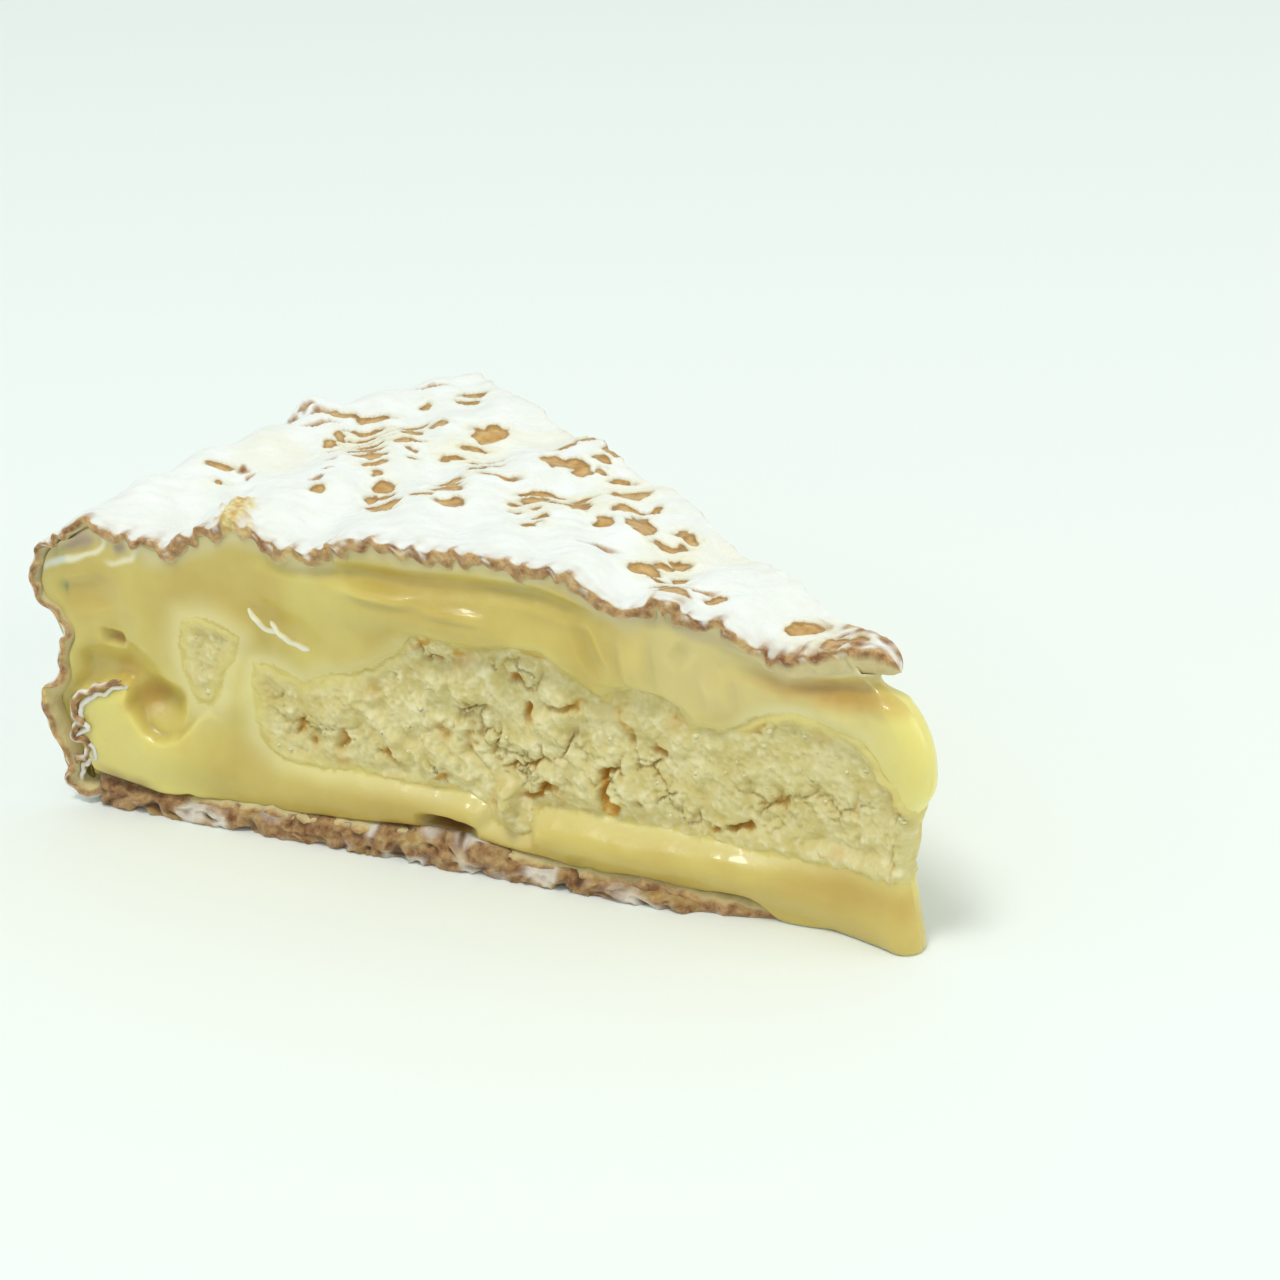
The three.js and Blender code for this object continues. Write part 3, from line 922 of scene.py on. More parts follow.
# Worn patches on top, as (distance along the middle line, distance across it, length along the
# straws, width across them). Across is positive towards the second cut.
WORN_PATCHES = [
    (111, 11.8, 4, 1.6), (107, 14, 4.2, 1.7), (106.2, 6.7, 1.2, 2), (104.6, 4, 1.6, 2),
    (102, 1.6, 1.6, 1), (104.6, 10.6, 4, 1), (102.2, 9, 3.8, 0.9), (100, 6.8, 3.6, 0.9),
    (99.4, 14, 3.6, 2.6), (96.6, 12.2, 2.8, 2.6), (94, 8.8, 3.4, 2.2), (95.3, 15.9, 2.4, 2.2),
    (88.4, 18.7, 5.4, 4.6), (86.2, 13.8, 3.2, 1.5), (105, 22.8, 1.6, 1.8), (102.6, 30, 2.4, 1),
    (101, 27.8, 3.2, 1.4), (98.2, 4.8, 4.6, 1.7), (96.4, 2.6, 4, 1.5), (94.2, 1.2, 4, 1.8),
    (91.4, -0.4, 3.2, 1.8), (88.8, -2.2, 1.8, 1.7), (91.4, 6.6, 1, 0.8), (88.8, 4.4, 1, 1),
    (85.8, 9, 2.4, 1), (81, 10.8, 3.6, 1.3), (78, 8.8, 3.6, 1.9), (77.4, 6, 1.8, 1.3),
    (73.2, 5.6, 3, 1), (89.4, -12.6, 1.6, 2), (85.4, -4.4, 3, 3), (84.2, -7.8, 2, 2),
    (82.6, -6.2, 1.6, 1), (79, -9.8, 4, 3.6), (76, -11.4, 1.1, 1), (77.6, 1, 3.2, 2.3),
    (76, -1, 2.9, 1.9), (74.4, -2.6, 3.4, 1.8), (75.4, -6.4, 2.1, 1.3), (70.6, -6.2, 3.4, 2.2),
    (65.2, 5.9, 5.2, 1.4), (64.2, 3.6, 3.2, 2), (65.4, 0.8, 1.6, 1.4), (62.8, -1.6, 1.6, 1.6),
    (61.2, 0.8, 1.7, 1.6), (58, -2, 1.7, 1.6), (56.9, -5.1, 2.2, 1.2), (60.2, 5.6, 4.6, 2.1),
    (57.4, 5, 3.2, 2.8), (60, 8.6, 2.6, 1), (52.2, 3.4, 1.5, 3), (75, 20.6, 2.6, 2.5),
    (74, 23.8, 2.6, 2.2), (68.4, 23.4, 3.2, 3.4), (71.8, 14.6, 2.2, 3.4), (69.8, 16.2, 4, 2.1),
    (67.2, 15.4, 2.6, 3), (67.8, 20, 1.3, 1.3), (65.4, 17.4, 1.3, 2), (61.8, 17.4, 2.8, 1.3),
    (56.4, 13.6, 4.8, 4.6), (52.6, 8.8, 3.8, 2.4), (48, 6.4, 3.4, 4.8), (50.6, 11.8, 1.3, 1),
    (44.4, 9.2, 1.6, 1.1), (42.4, 9.4, 1.8, 2), (42.6, 5.8, 3.2, 1.3), (39, 3.6, 2.2, 2.5),
    (40.2, -2.2, 3.7, 2.8), (39.8, 1, 2.1, 2.2), (36.4, -2.2, 3, 1.2), (36, -0.2, 1.2, 1.6),
    (33.8, -4, 2.6, 1), (31.6, -6.5, 2.8, 4), (27.2, -3.2, 2.4, 2.2), (16, 0.8, 4.2, 2.6),
    (10, -1.7, 3.3, 3.8), (7.2, 0, 2.4, 1.3), (110.4, -11.6, 2.8, 1.4), (106.4, -15.4, 1.2, 0.9),
]
# Creases where the bare skin shows, in the same terms.
BROWN_CREASES = [
    (117.4, 8, 1.1, 5.4), (116.6, 10.2, 2.4, 1.8), (113.6, 10, 3, 0.9), (111.4, 7.6, 4.6, 1.1),
    (108.3, -9.6, 1.3, 2), (105.6, -10.6, 1.5, 2), (46.4, -3.5, 4, 0.8), (29.6, -2.8, 4, 0.9),
    (109, 28, 4.6, 0.8), (14.3, -5.1, 0.9, 1), (9.8, 1.2, 2.4, 0.8), (99.6, -17.2, 2, 0.8),
    (80.2, -15, 1.2, 0.8), (92.4, -9.6, 1.3, 0.8), (94, -6.8, 1.4, 0.8), (97.3, -3.1, 2.2, 0.8),
]
# Where the felt has yellowed, in the same terms.
HALOS = [
    (109, -4, 8, 9), (100, 8, 9, 8), (86, 13, 9, 7), (60, 5, 10, 7), (58, 14, 7, 8), (40, 4, 8, 8),
    (12, 0, 9, 8), (78, 27, 16, 5), (55, 20, 14, 6), (36, 12, 12, 5),
]


def straw_axes(a, b):
    """Places on top, along the straws and across them."""
    along = a * math.cos(STRAW_ANGLE) + b * math.sin(STRAW_ANGLE)
    across = b * math.cos(STRAW_ANGLE) - a * math.sin(STRAW_ANGLE)
    return along, across


def inside_patches(a, b, patches):
    """How far inside the nearest patch each place is, in mm; below 0 outside them all. A patch is
    an ellipse laid along the straws."""
    along, across = straw_axes(a, b)
    deepest = np.full(a.shape, -9.0)
    for middle_a, middle_b, length, width in patches:
        middle_along, middle_across = straw_axes(middle_a, middle_b)
        half_length, half_across = 0.5 * length, 0.5 * width
        share = np.hypot((along - middle_along) / half_length, (across - middle_across) / half_across)
        deepest = np.maximum(deepest, (1.0 - share) * min(half_length, half_across))
    return deepest


# The amber lump by the first cut's edge, and the peak at the back of the rim, in the same terms.
AMBER_LUMP = [(92.4, -22.8), (89.6, -26.2), (86.6, -30.0)]
REAR_PEAK = [(121.5, 12.0), (118.0, 12.4)]


def mat_marks(a, b, lobe):
    """Ridges left by the mat's ties, a wandering cosine across them, and by its straws, two
    noises drawn out along them that come and go."""
    ties = (b * math.cos(TIE_ANGLE) - a * math.sin(TIE_ANGLE)) / TIE_SPACING
    ridges = 0.35 * np.cos(2.0 * math.pi * (ties + 0.25 * noise(lobe, 20.0, 71)))
    along, across = straw_axes(a, b)
    straws = noise(np.stack([along / 5.0, across, lobe[..., 2]], -1), 1.9, 76)
    straws += 0.6 * noise(np.stack([along / 6.0, across, lobe[..., 2]], -1), 1.1, 77)
    return ridges + 0.30 * straws * ease(0.6 + 1.2 * noise(lobe, 16.0, 78))


def skin_line(cut, seed, top_share):
    """One cut's skin line: its points, its outward directions, and its wrinkles' displacement
    outwards and along. The wrinkles are a sine whose pace and height wander, with one at half
    its pace and noise added, and one at twice its pace that leans them over. top_share scales
    those of the top edge."""
    whole = path_through(cut["top"] + cut["rim"] + cut["under"], 0.05)
    ends = [np.array(cut[stretch][-1]) for stretch in ("top", "rim")]
    corner, foot = [np.argmin(np.linalg.norm(whole - end, axis=1)) for end in ends]
    line = np.concatenate([
        resampled(whole[: corner + 1], TOP_STATIONS + 1)[:-1],
        resampled(whole[corner : foot + 1], RIM_STATIONS + 1)[:-1],
        resampled(whole[foot:], UNDER_STATIONS),
    ])
    ahead = np.gradient(line, axis=0)
    ahead /= np.linalg.norm(ahead, axis=1, keepdims=True)
    outward = np.stack([-ahead[:, 1], ahead[:, 0]], 1)
    arc = travelled(line)
    spot = on_line(arc)
    pace = np.interp(arc, [94, 106, 126, 134, 166], [3.1, 5.0, 5.0, 3.7, 3.4])
    turns = np.cumsum(np.gradient(arc) / pace)
    turns += 0.7 * noise(spot, 8.0, seed) + 0.3 * noise(spot, 3.0, seed + 3)
    phase = 2.0 * math.pi * turns
    lively = np.interp(arc, [0, 14, 98, 108, 124, 132, 166], [0.2, 0.5, 0.6, 1.0, 1.0, 0.8, 0.4])
    lively *= np.where(arc < 124.0, top_share, 1.0)
    height = lively * np.clip(0.75 + 1.5 * noise(spot, 5.0, seed + 1), 0.12, 1.6)
    waves = 0.85 * np.sin(phase) + 0.4 * np.sin(0.5 * phase) + 0.4 * noise(spot, 1.1, seed + 2)
    swing = height * waves + 0.45 * noise(spot, 4.0, seed + 4)
    lean = -0.08 * height * np.sin(2.0 * phase)
    return line, outward, ahead, swing, lean


def rind_ring():
    """Where the points of a ring across the rind lie in it: on the felt, a cut edge, the hidden
    inner side and the other cut edge. v runs from -1 on the first cut to 1 on the second, and
    the felt's points lie closer together towards the first. t runs from 0 on the felt to 1 on
    the inner side, and the felt turns into skin half way."""
    share = np.linspace(0.0, 1.0, ACROSS)
    felt_v = 2.0 * (0.4 * share + 0.6 * share**1.6) - 1.0
    edge_t = np.array([0.12, 0.28, 0.44, 0.54, 0.66, 0.78, 0.88, 0.95])
    edge_v = np.ones(len(edge_t))
    inner_v = np.linspace(0.98, -0.98, 8)
    v = np.concatenate([felt_v, edge_v, inner_v, -edge_v])[None, :]
    t = np.concatenate([np.zeros(ACROSS), edge_t, np.ones(len(inner_v)), edge_t[::-1]])[None, :]
    return v, t


def rind_places(v, t, line):
    """The places of the rind's points: distances along the wedge's middle line (a) and across it
    (b), noise places (lobe), distances from the two cuts, and shares of the top and underside."""
    station = np.arange(len(line))[:, None]
    topside = ease((TOP_STATIONS + 20.0 - station) / 24.0)
    s = line[..., 0]
    width = half_width(s)
    a = s * np.cos(v * HALF_ANGLE)
    b = width * np.sin(v * HALF_ANGLE) / math.sin(HALF_ANGLE)
    from_first, from_second = (1.0 + v) * width, (1.0 - v) * width
    return SimpleNamespace(
        t=t, s=s, a=a, b=b, lobe=np.stack([a, b, 0.8 * line[..., 1] * (1.0 - topside)], -1),
        station=station, topside=topside,
        underside=ease((station - TOP_STATIONS - RIM_STATIONS) / 8.0),
        from_first=from_first, from_second=from_second,
        from_edge=np.minimum(from_first, from_second),
    )


def rind_wear(at):
    """How deep each place lies in a worn patch and in a brown crease, below 0 outside them. Noise
    bends their outlines. Down the rim the felt is scuffed instead, where a noise is high."""
    wander = 1.1 * two_noises(at.lobe, 2.4, 81, 82)
    a, b = at.a + wander[..., 0], at.b + wander[..., 1]
    patches = inside_patches(a, b, WORN_PATCHES) + 0.12 + 0.35 * noise(at.lobe, 1.0, 83)
    scuffs = 3.2 * noise(at.lobe * (1.0, 0.4, 1.6), 3.0, 90) - 2.3
    worn = np.where(at.topside > 0.6, patches, np.where(at.underside > 0.0, -9.0, scuffs))
    creases = np.where(at.topside > 0.6, inside_patches(a, b, BROWN_CREASES), -9.0)
    return worn, creases


def rind_relief(at, worn, creases, lump):
    """The felt's relief: the mat's marks and slow bumps, less the worn patches and creases, plus
    a low rim round each patch, the amber lump and the peak at the back."""
    bumps = 0.45 * noise(at.lobe, 13.0, 72) + 0.22 * noise(at.lobe, 5.0, 73)
    bumps += 0.10 * noise(at.lobe, 2.0, 74)
    calm = 1.0 - 0.6 * np.exp(-at.from_edge / 3.0)  # the cut edges follow the paste's own line
    relief = mat_marks(at.a, at.b, at.lobe) * at.topside + bumps
    relief = relief * (1.0 - 0.75 * at.underside) * ease(at.s / 20.0) * calm
    on_felt = at.t < 0.5
    relief -= (0.22 * ease(worn / 0.6 + 0.5) + 0.35 * ease(creases / 0.5 + 0.6)) * on_felt
    relief += 0.25 * hill((worn + 0.7) / 0.7) * on_felt * at.topside
    relief += lump * (0.5 + 0.8 * clumps(at.lobe, 1.2, 75)[0])
    return relief + 2.2 * hill(distance_to(at.a, at.b, REAR_PEAK) / 5.0) * at.topside


def rind_offset(at, line, swing, relief):
    """How far each point stands out of the skin's line, and how thick the felt is on the skin.
    Both follow the wrinkles, the skin most. Out of sight behind the cut edge's ribbon, the skin
    reaches down to the paste."""
    t, s = at.t, at.s
    around = np.clip((at.station - TOP_STATIONS + 30.0) / 30.0, 0.0, 1.0)
    thick = through([[0, 2.6], [8, 2.6], [14, 2.1], [20, 1.8]], s) * (1.0 - around)
    thick = thick + (0.75 + 0.35 * at.underside) * around
    thick = thick * (1.0 + 0.6 * ease((s - 10.0) / 14.0) * noise(line[:, :, [0, 1, 1]], 2.6, 58))
    skin = swing + 0.4
    felt = np.maximum(0.9 + 0.4 * swing, skin + 0.06) + 0.6 * at.underside
    lowest = skin - thick - swing * ease((24.0 - s) / 8.0)
    below = skin + (lowest - skin) * np.clip((t - 0.5) / 0.4, 0.0, 1.0)
    offset = np.where(t < 0.5, felt + (skin - felt) * t * 2.0, below)
    offset += (np.minimum(lowest, -1.0) - lowest) * ease((t - 0.9) / 0.1)
    return offset + relief * ease((0.9 - t) / 0.4), felt - skin


def rind_masks(at, s, worn, creases, lump, felt_depth):
    """Where the rind is worn, yellowed, bare, beige, dark or amber. Bare skin shows through thin
    felt by the cut edges, and mottles the tongue."""
    t, lobe, from_edge = at.t, at.lobe, at.from_edge
    inward = t[..., None]
    patchy = ease(0.6 + 1.3 * noise(lobe, 1.5, 86))
    bare = ease((0.50 - felt_depth) / 0.3) * np.exp(-from_edge / 1.4) * (0.4 + 0.6 * patchy)
    bare = bare + 0.3 * np.exp(-from_edge / 1.3) * patchy
    bare *= np.where(at.from_first < at.from_second, 1.0, 0.25)
    mottle = ease(0.55 + 0.35 * ease((7.0 - s) / 6.0) + 1.2 * noise(lobe, 1.8, 84))
    mottle *= ease(1.2 - from_edge / 3.0) * ease((21.0 - s) / 9.0) * (at.from_first < 9.0)
    felted = 0.7 * ease(1.8 * noise(lobe + inward * 2.0, 1.3, 87) - 0.1) * (t < 0.6)
    skin = ease((t - 0.08) / 0.2) * (1.0 - felted)
    yellowed = ease(1.0 + inside_patches(at.a, at.b, HALOS) / 3.0) * at.topside
    beige_from = through([[0, 0.5], [18, 0.58], [26, 0.74]], s)
    browned = ease(1.8 * noise(lobe + inward * 3.0, 1.1, 88) - 0.3) * (t < 0.8)
    patch_rims = hill((worn - 0.05) / 0.45) * at.topside * (t < 0.3)
    golden = ease(2.4 * noise(lobe + inward, 2.2, 89) - 0.5) * ease((t - 0.1) / 0.2)
    return {
        "worn": np.clip(0.5 + worn * 0.8, 0.0, 1.0) * (t < 0.3),
        "halo": 0.25 * yellowed + 0.4 * ease(1.0 + worn / 1.2),
        "skin": skin + (0.9 * bare + mottle + ease(creases / 0.5 + 0.5)) * (t < 0.5),
        "beige": (0.8 + 0.2 * noise(lobe, 2.0, 92)) * ease((t - beige_from) / 0.16),
        "dark": 0.45 * browned * ease((t - 0.15) / 0.2) + 0.4 * patch_rims,
        "amber": np.maximum(lump, 0.6 * golden),
        "under": at.underside * np.ones(at.a.shape),
    }


def rind_piece():
    """The rind: one closed sheet over the top, down the rim and under the wedge. Each station
    along that way is a ring across the wedge, laid between the two cuts' skin lines and moved
    out of them by the skin's thickness, its wrinkles and its relief."""
    v, t = rind_ring()
    first, second = skin_line(FIRST, 51, 1.0), skin_line(SECOND, 61, 0.5)
    w = (0.5 + 0.5 * v)[..., None]
    line, outward, ahead = [
        one[:, None] * (1.0 - w) + two[:, None] * w for one, two in zip(first[:3], second[:3])
    ]
    at = rind_places(v, t, line)
    near_first = np.exp(-at.from_first / WRINKLE_REACH)
    near_second = np.exp(-at.from_second / WRINKLE_REACH)
    swing = first[3][:, None] * near_first + second[3][:, None] * near_second
    lean = first[4][:, None] * near_first**2 + second[4][:, None] * near_second**2

    worn, creases = rind_wear(at)
    lump = ease(1.3 - distance_to(at.a, at.b, AMBER_LUMP) / 2.0 + 0.9 * noise(at.lobe, 1.5, 85))
    lump = lump * at.topside
    relief = rind_relief(at, worn, creases, lump)
    offset, felt_depth = rind_offset(at, line, swing, relief)
    # The tongue narrows and rounds off at its end, and the underside's skin ends out of sight.
    from_end = at.s - FIRST["top"][0][0]
    tongue = np.clip(from_end / 3.6, 0.0, 1.0)
    on_top = at.station < TOP_STATIONS
    rounding = np.maximum(np.where(on_top, np.sqrt(1.0 - (1.0 - tongue) ** 2), 1.0), 0.03)
    offset = (offset + 1.0) * rounding - 1.0
    place = line + outward * offset[..., None] + ahead * lean[..., None]
    s, z = place[..., 0], np.maximum(place[..., 1], 0.02)
    narrow = through([[0, 0.42], [4, 0.62], [10, 1.0]], from_end)
    tucked = np.where(at.underside > 0.0, through([[8, 0.2], [24, 1.0]], s), 1.0)
    width = half_width(s) * rounding * np.where(on_top, narrow, tucked)
    bearing = v * HALF_ANGLE
    bulge = (np.cos(bearing) - math.cos(HALF_ANGLE)) * s
    x = TIP_X - s * math.cos(HALF_ANGLE) - bulge
    y = width * np.sin(bearing) / math.sin(HALF_ANGLE)

    # The cut edges stand a little proud of the paste, most where the skin is folded at the foot
    # of the first cut's rim.
    depth_in_skin = np.broadcast_to(2.0 * t + 5.0 * v, line.shape[:2])
    knobs = 0.3 * noise(np.stack([line[..., 0], line[..., 1], depth_in_skin], -1), 1.8, 59)
    sunk = 0.8 * ease((t - 0.75) / 0.25) * ease((s - 14.0) / 10.0)
    edge = (0.35 + knobs + 0.3 * np.sin(math.pi * t)) * ease(s / 6.0) - sunk + 0.5 * at.underside
    folded = 1.9 * ease((19.5 - z) / 2.5) * ease((s - 116.0) / 2.5) * (1.0 - at.underside)
    first_edge = edge * np.exp(-at.from_first / 0.8) + folded * np.exp(-at.from_first / 1.6)
    second_edge = edge * np.exp(-at.from_second / 0.8)
    x = x + OUT_OF_FIRST[0] * (first_edge + second_edge)
    y = y + OUT_OF_FIRST[1] * (first_edge - second_edge)
    masks = rind_masks(at, s, worn, creases, lump, felt_depth)
    return add_tube("bloomy_rind", np.stack([x, y, z], -1), masks)


# ---------------------------------------------------------------- folds and crumbs

def on_cut(side, s, z, stand_out):
    """A place standing so far out of a cut: the first one if side is 1, the second if it's -1."""
    x = TIP_X - s * math.cos(HALF_ANGLE) + OUT_OF_FIRST[0] * stand_out
    y = side * (-half_width(s) + OUT_OF_FIRST[1] * stand_out)
    return np.stack([x, y, z], -1)


STRIP_SPACING = 0.22  # between a skin strip's rings


def strip_rings(line, stand_out, wide, thick, wave, seed):
    """Rings of a skin strip lying on the first cut along a line of (distance, height): an oval
    section, waving from side to side and in and out, tapering at its ends. Also gives each
    point's place from the strip's right-hand side, 1, to its left, -1."""
    middle = path_through(line, STRIP_SPACING)
    arc = np.arange(len(middle)) * STRIP_SPACING
    spot = on_line(arc)
    ahead = np.gradient(middle, axis=0)
    ahead /= np.linalg.norm(ahead, axis=1, keepdims=True)
    aside = np.stack([ahead[:, 1], -ahead[:, 0]], 1)
    middle = middle + aside * (wave * noise(spot, 1.5, seed))[:, None]
    out = through(stand_out, arc / arc[-1]) + 0.5 * wave * noise(spot, 2.1, seed + 1)
    taper = np.sqrt(np.clip(1.0 - (2.0 * arc / arc[-1] - 1.0) ** 8, 0.02, 1.0))
    turn = np.linspace(0.0, 2.0 * math.pi, 15)[:-1]
    across = (wide * taper * (1.0 + 0.3 * noise(spot, 2.6, seed + 2)))[:, None] * np.cos(turn)
    up = (thick * taper)[:, None] * np.sin(turn)
    s = middle[:, :1] + aside[:, :1] * across
    z = middle[:, 1:] + aside[:, 1:] * across
    side = np.broadcast_to(np.cos(turn), s.shape)
    return on_cut(1, s, np.maximum(z, 0.03), out[:, None] + up), side


# Height of the crinkled skin's upper edge along a cut's foot, by distance from the centre.
HEM_HEIGHT = [
    [20, 0.9], [26, 1.8], [34, 2.3], [44, 2.5], [52, 2.7], [58, 4.2], [64, 4.8], [70, 4.0], [80, 3.4],
    [90, 3.2], [100, 3.1], [108, 3.3], [113, 3.6], [117, 4.8], [121, 6.2],
]
HEM_STATIONS, HEM_ROWS = 520, 30


def fold_piece():
    """The rind's edge at the foot of the rim, folded up over the first cut: a wavy brown ribbon
    with the white felt's ribbon inside it."""
    line = np.array([
        (120.8, 3.0), (120.4, 5.8), (118.6, 7.3), (117.4, 8.6), (117.8, 9.9), (119.6, 10.6),
        (119.2, 11.8), (117.8, 12.8), (119.0, 13.9), (118.8, 15.2), (117.9, 16.8), (116.2, 17.8),
        (114, 18.7), (111.4, 19.7),
    ])
    skin_out = [[0, 1.0], [0.25, 2.0], [0.8, 2.1], [1, 1.2]]
    felt_out = [[0, 1.0], [0.25, 1.9], [0.8, 1.9], [1, 1.0]]
    skin, skin_side = strip_rings(line, skin_out, 0.5, 0.5, 0.6, 91)
    felt, felt_side = strip_rings(line - (0.9, 0.7), felt_out, 0.4, 0.35, 0.7, 96)
    tint = noise(skin, 1.6, 98)
    masks = [
        {"skin": ease(0.9 - 0.5 * skin_side + 1.2 * tint), "dark": 0.6 * ease(1.6 * tint)},
        {"skin": 0.2 + 0.4 * ease(0.3 + felt_side), "dark": 0.0 * felt_side},
    ]
    return add_tubes("rind_fold", [skin, felt], masks)


def hem_piece():
    """The crinkled skin along both cuts' feet. Each is a closed sheet: its face is a low bulge
    raised into folds by ridged noise (1 less twice the absolute noise), stretched along the cut
    so that the folds run lengthwise. The creases are darkened with painted shade, and some folds
    still carry white felt."""
    every_rings, every_masks = [], []
    for side, taper in ((1, 4.0), (-1, 10.0)):
        s = np.linspace(119.5, 21.0, HEM_STATIONS)[:, None]
        up = np.linspace(0.0, 1.0, HEM_ROWS)[None, :]
        spot = np.stack([s, 0.0 * s, 40.0 * side + 0.0 * s], -1)
        low = 0.05 + 0.7 * ease(noise(spot, 4.0, 101) * 2.0)
        high = through(HEM_HEIGHT, s) + 0.5 * noise(spot, 5.0, 102)
        z = low + (high - low) * up
        flat = np.stack([s / 1.5 + 0.0 * z, z, 40.0 * side + 0.0 * z], -1)
        flat[..., :2] += 0.9 * two_noises(flat, 2.6, 103, 108)
        fold = 1.0 - 2.0 * np.abs(noise(flat, 2.0, 104))
        small = 1.0 - 2.0 * np.abs(noise(flat, 1.1, 105))
        ends = ease((120.0 - s) / taper) * ease((s - 21.0) / 9.0)
        bulge = 0.9 + 0.8 * hill((up - 0.3) / 0.8) - 1.2 * ease((up - 0.72) / 0.28)
        out = (bulge + 0.7 * fold + 0.3 * small + 3.6) * ends - 3.6
        s = np.broadcast_to(s, z.shape)
        rows = [HEM_ROWS - 1, 20, 9, 0]
        back = on_cut(side, s, z, np.minimum(out - 0.4, -2.2))[:, rows]
        every_rings.append(np.concatenate([on_cut(side, s, z, out), back], 1))
        felted = ease(2.4 * noise(flat, 3.0, 106) - 0.1 - 0.8 * ease((s - 98.0) / 10.0))
        felted *= ease(0.5 + fold)
        crease = ease((0.3 - np.minimum(fold, small + 0.35)) / 0.6)
        golden = 0.55 * ease(2.2 * noise(flat, 2.4, 107)) * (1.0 - felted)
        # Painted shade darkens the creases, on top of the skin's own darker brown.
        dark = (0.3 + 0.65 * crease) * (1.0 - 0.8 * felted)
        masks = {"skin": 1.0 - 0.6 * felted, "dark": dark, "amber": golden}
        every_masks.append({key: np.concatenate([v, v[:, rows]], 1) for key, v in masks.items()})
    return add_tubes("rind_hem", every_rings, every_masks)


def shaving_piece():
    """A pale curl of skin that the knife left on the first cut."""
    upper = [(90.0, 33.6), (88.8, 32.8), (87.6, 31.6), (85.4, 30.6)]
    lower = [(86.8, 32.2), (85.2, 31.2), (83.2, 29.8), (81.2, 28.8)]
    every_rings, every_masks = [], []
    for line, seed in ((upper, 95), (lower, 97)):
        rings, side = strip_rings(line, [[0, 1.5], [0.4, 2.4], [0.7, 2.0], [1, 1.5]], 0.45, 0.2, 0.3, seed)
        every_rings.append(rings)
        every_masks.append({"halo": 0.6 + 0.4 * side, "skin": 0.45 * ease(side - 0.2)})
    return add_tubes("rind_shaving", every_rings, every_masks)


CRUMB_COUNT = 160


def crumb_piece(heart):
    """Loose crumbs lying on the heart: small dented balls of curd, each bedded at a point of
    the heart's surface picked at random, more of them small than large."""
    pick = np.random.default_rng(7)
    mesh = heart.data
    points = np.zeros(len(mesh.vertices) * 3)
    mesh.vertices.foreach_get("co", points)
    normals = np.zeros(len(mesh.vertices) * 3)
    mesh.vertex_normals.foreach_get("vector", normals)
    points, normals = points.reshape(-1, 3) / MM, normals.reshape(-1, 3)
    shown = np.zeros(len(points), np.float32)
    mesh.attributes["shown"].data.foreach_get("value", shown)
    spots = pick.choice(np.flatnonzero(shown > 0.5), CRUMB_COUNT, replace=False)
    size = 0.14 + 0.45 * pick.random(CRUMB_COUNT) ** 4
    up, around = np.meshgrid(np.linspace(-0.62, 0.62, 3), np.arange(6) * math.pi / 3, indexing="ij")
    flat = np.sqrt(1.0 - up**2)
    ball = np.stack([flat * np.cos(around + up), flat * np.sin(around + up), up], -1)
    dents = 1.0 + 0.6 * (pick.random((CRUMB_COUNT, 3, 6, 1)) - 0.5)
    place = points[spots] - normals[spots] * (0.2 * size)[:, None]
    balls = place[:, None, None] + ball * dents * size[:, None, None, None]
    plain = np.zeros(ball.shape[:2])
    # The crumbs are coloured with the painted light of the curd's lump tops.
    return add_tubes("curd_crumbs", list(balls), [{"painted_crest_light": plain + 0.8}] * CRUMB_COUNT)


# ---------------------------------------------------------------- the studio

CAMERA_DISTANCE = 457.5
CAMERA_AZIMUTH = math.radians(43.1)
CAMERA_ELEVATION = math.radians(24.9)
CAMERA_ROLL = math.radians(-2.42)
LOOK_AT = np.array([TIP_X - 86.9, 46.7, 0.0])
LENS = 84.4  # on a sensor 36 mm wide


def add_camera():
    """The camera looks at a point on the surface behind the wedge's middle, rolled slightly."""
    flat = math.cos(CAMERA_ELEVATION)
    away = np.array([
        flat * math.sin(CAMERA_AZIMUTH), -flat * math.cos(CAMERA_AZIMUTH), math.sin(CAMERA_ELEVATION),
    ])
    place = LOOK_AT + CAMERA_DISTANCE * away
    right = np.array([math.cos(CAMERA_AZIMUTH), math.sin(CAMERA_AZIMUTH), 0.0])
    up = np.cross(away, right)
    turn_right = math.cos(CAMERA_ROLL) * right + math.sin(CAMERA_ROLL) * up
    turn_up = -math.sin(CAMERA_ROLL) * right + math.cos(CAMERA_ROLL) * up
    data = bpy.data.cameras.new("camera")
    data.lens = LENS
    data.sensor_width = 36.0
    data.clip_start, data.clip_end = 0.01, 20.0
    camera = bpy.data.objects.new("camera", data)
    matrix = np.eye(4)
    matrix[:3, 0], matrix[:3, 1], matrix[:3, 2] = turn_right, turn_up, away
    matrix[:3, 3] = place * MM
    camera.matrix_world = Matrix(matrix.tolist())
    bpy.context.scene.collection.objects.link(camera)
    bpy.context.scene.camera = camera


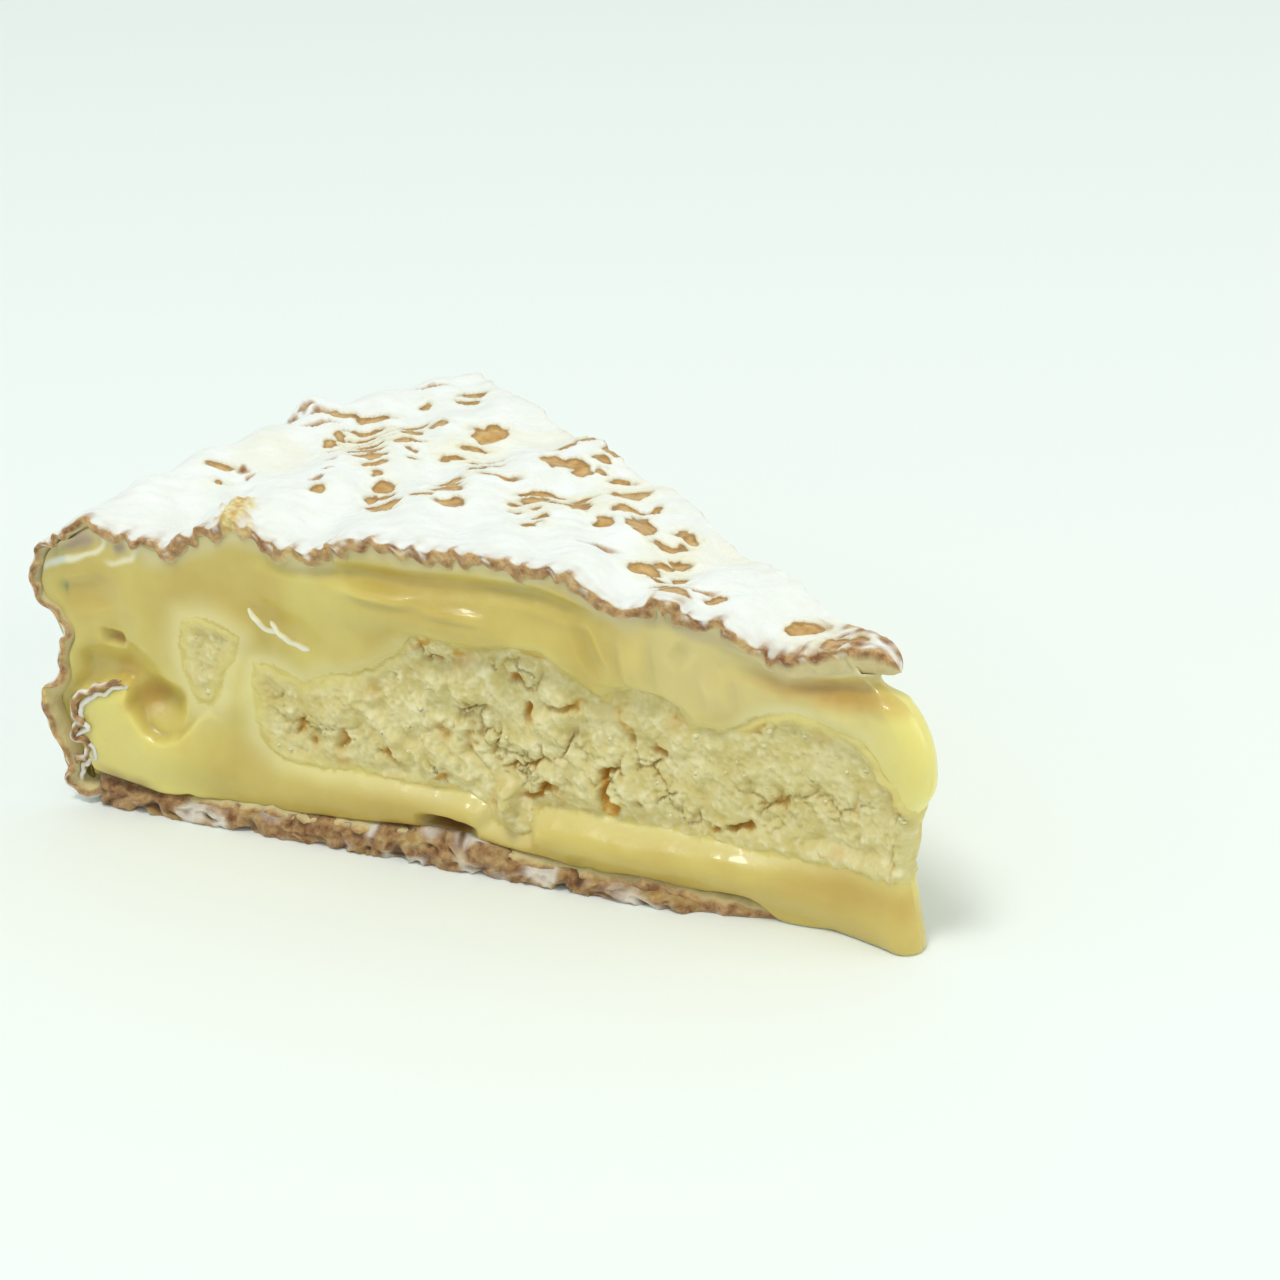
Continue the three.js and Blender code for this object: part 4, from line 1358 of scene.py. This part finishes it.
def add_light(name, place, size, power, colour):
    """A soft box at a place in metres, facing the wedge."""
    data = bpy.data.lights.new(name, "AREA")
    data.shape = "RECTANGLE"
    data.size, data.size_y = size
    data.energy = power
    data.color = linear(colour)[:3]
    light = bpy.data.objects.new(name, data)
    light.location = place
    light.rotation_euler = (Vector((0, 0, 0.02)) - Vector(place)).to_track_quat("-Z", "Y").to_euler()
    bpy.context.scene.collection.objects.link(light)


def add_studio():
    """A pale seamless floor and soft light from above and behind."""
    size = 4.0
    corners = np.array([(-size, -size, 0), (size, -size, 0), (size, size, 0), (-size, size, 0)])
    mesh = bpy.data.meshes.new("floor")
    mesh.from_pydata(corners.tolist(), [], [(0, 1, 2, 3)])
    floor = bpy.data.objects.new("floor", mesh)
    bpy.context.scene.collection.objects.link(floor)
    material, tree = new_material("pale_paper")
    surface(tree, {"Base Color": linear("#F0F4F0"), "Roughness": 0.9}, {})
    mesh.materials.append(material)

    world = bpy.data.worlds.new("studio")
    bpy.context.scene.world = world
    world.use_nodes = True
    world.node_tree.nodes["Background"].inputs["Color"].default_value = linear("#F2FCFC")
    world.node_tree.nodes["Background"].inputs["Strength"].default_value = 0.73
    add_light("key", (0.05, -0.55, 1.45), (0.4, 0.4), 8.7, "#FFFDF8")
    add_light("front_fill", (0.3, -1.6, 0.8), (1.6, 1.0), 0.5, "#FFFCF2")
    add_light("tip_glow", (1.0, 0.55, 0.5), (0.8, 0.8), 2.8, "#FFFEF4")
    bpy.context.scene.view_settings.view_transform = "Standard"


add_camera()
add_studio()
heart = heart_piece()
CURD, RIND = chalky_curd(), bloomy_rind()
PIECES = (
    (cream_piece(), ripe_cream(), "ripened_paste"),
    (heart, CURD, "chalky_paste"),
    (crumb_piece(heart), CURD, "chalky_paste"),
    (rind_piece(), RIND, "bloomy_rind"),
    (fold_piece(), RIND, "bloomy_rind"),
    (hem_piece(), RIND, "bloomy_rind"),
    (shaving_piece(), RIND, "bloomy_rind"),
)
for piece, material, slot in PIECES:
    piece.data.materials.append(material)
    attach(piece, "root")
    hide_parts("cheese_wedge")
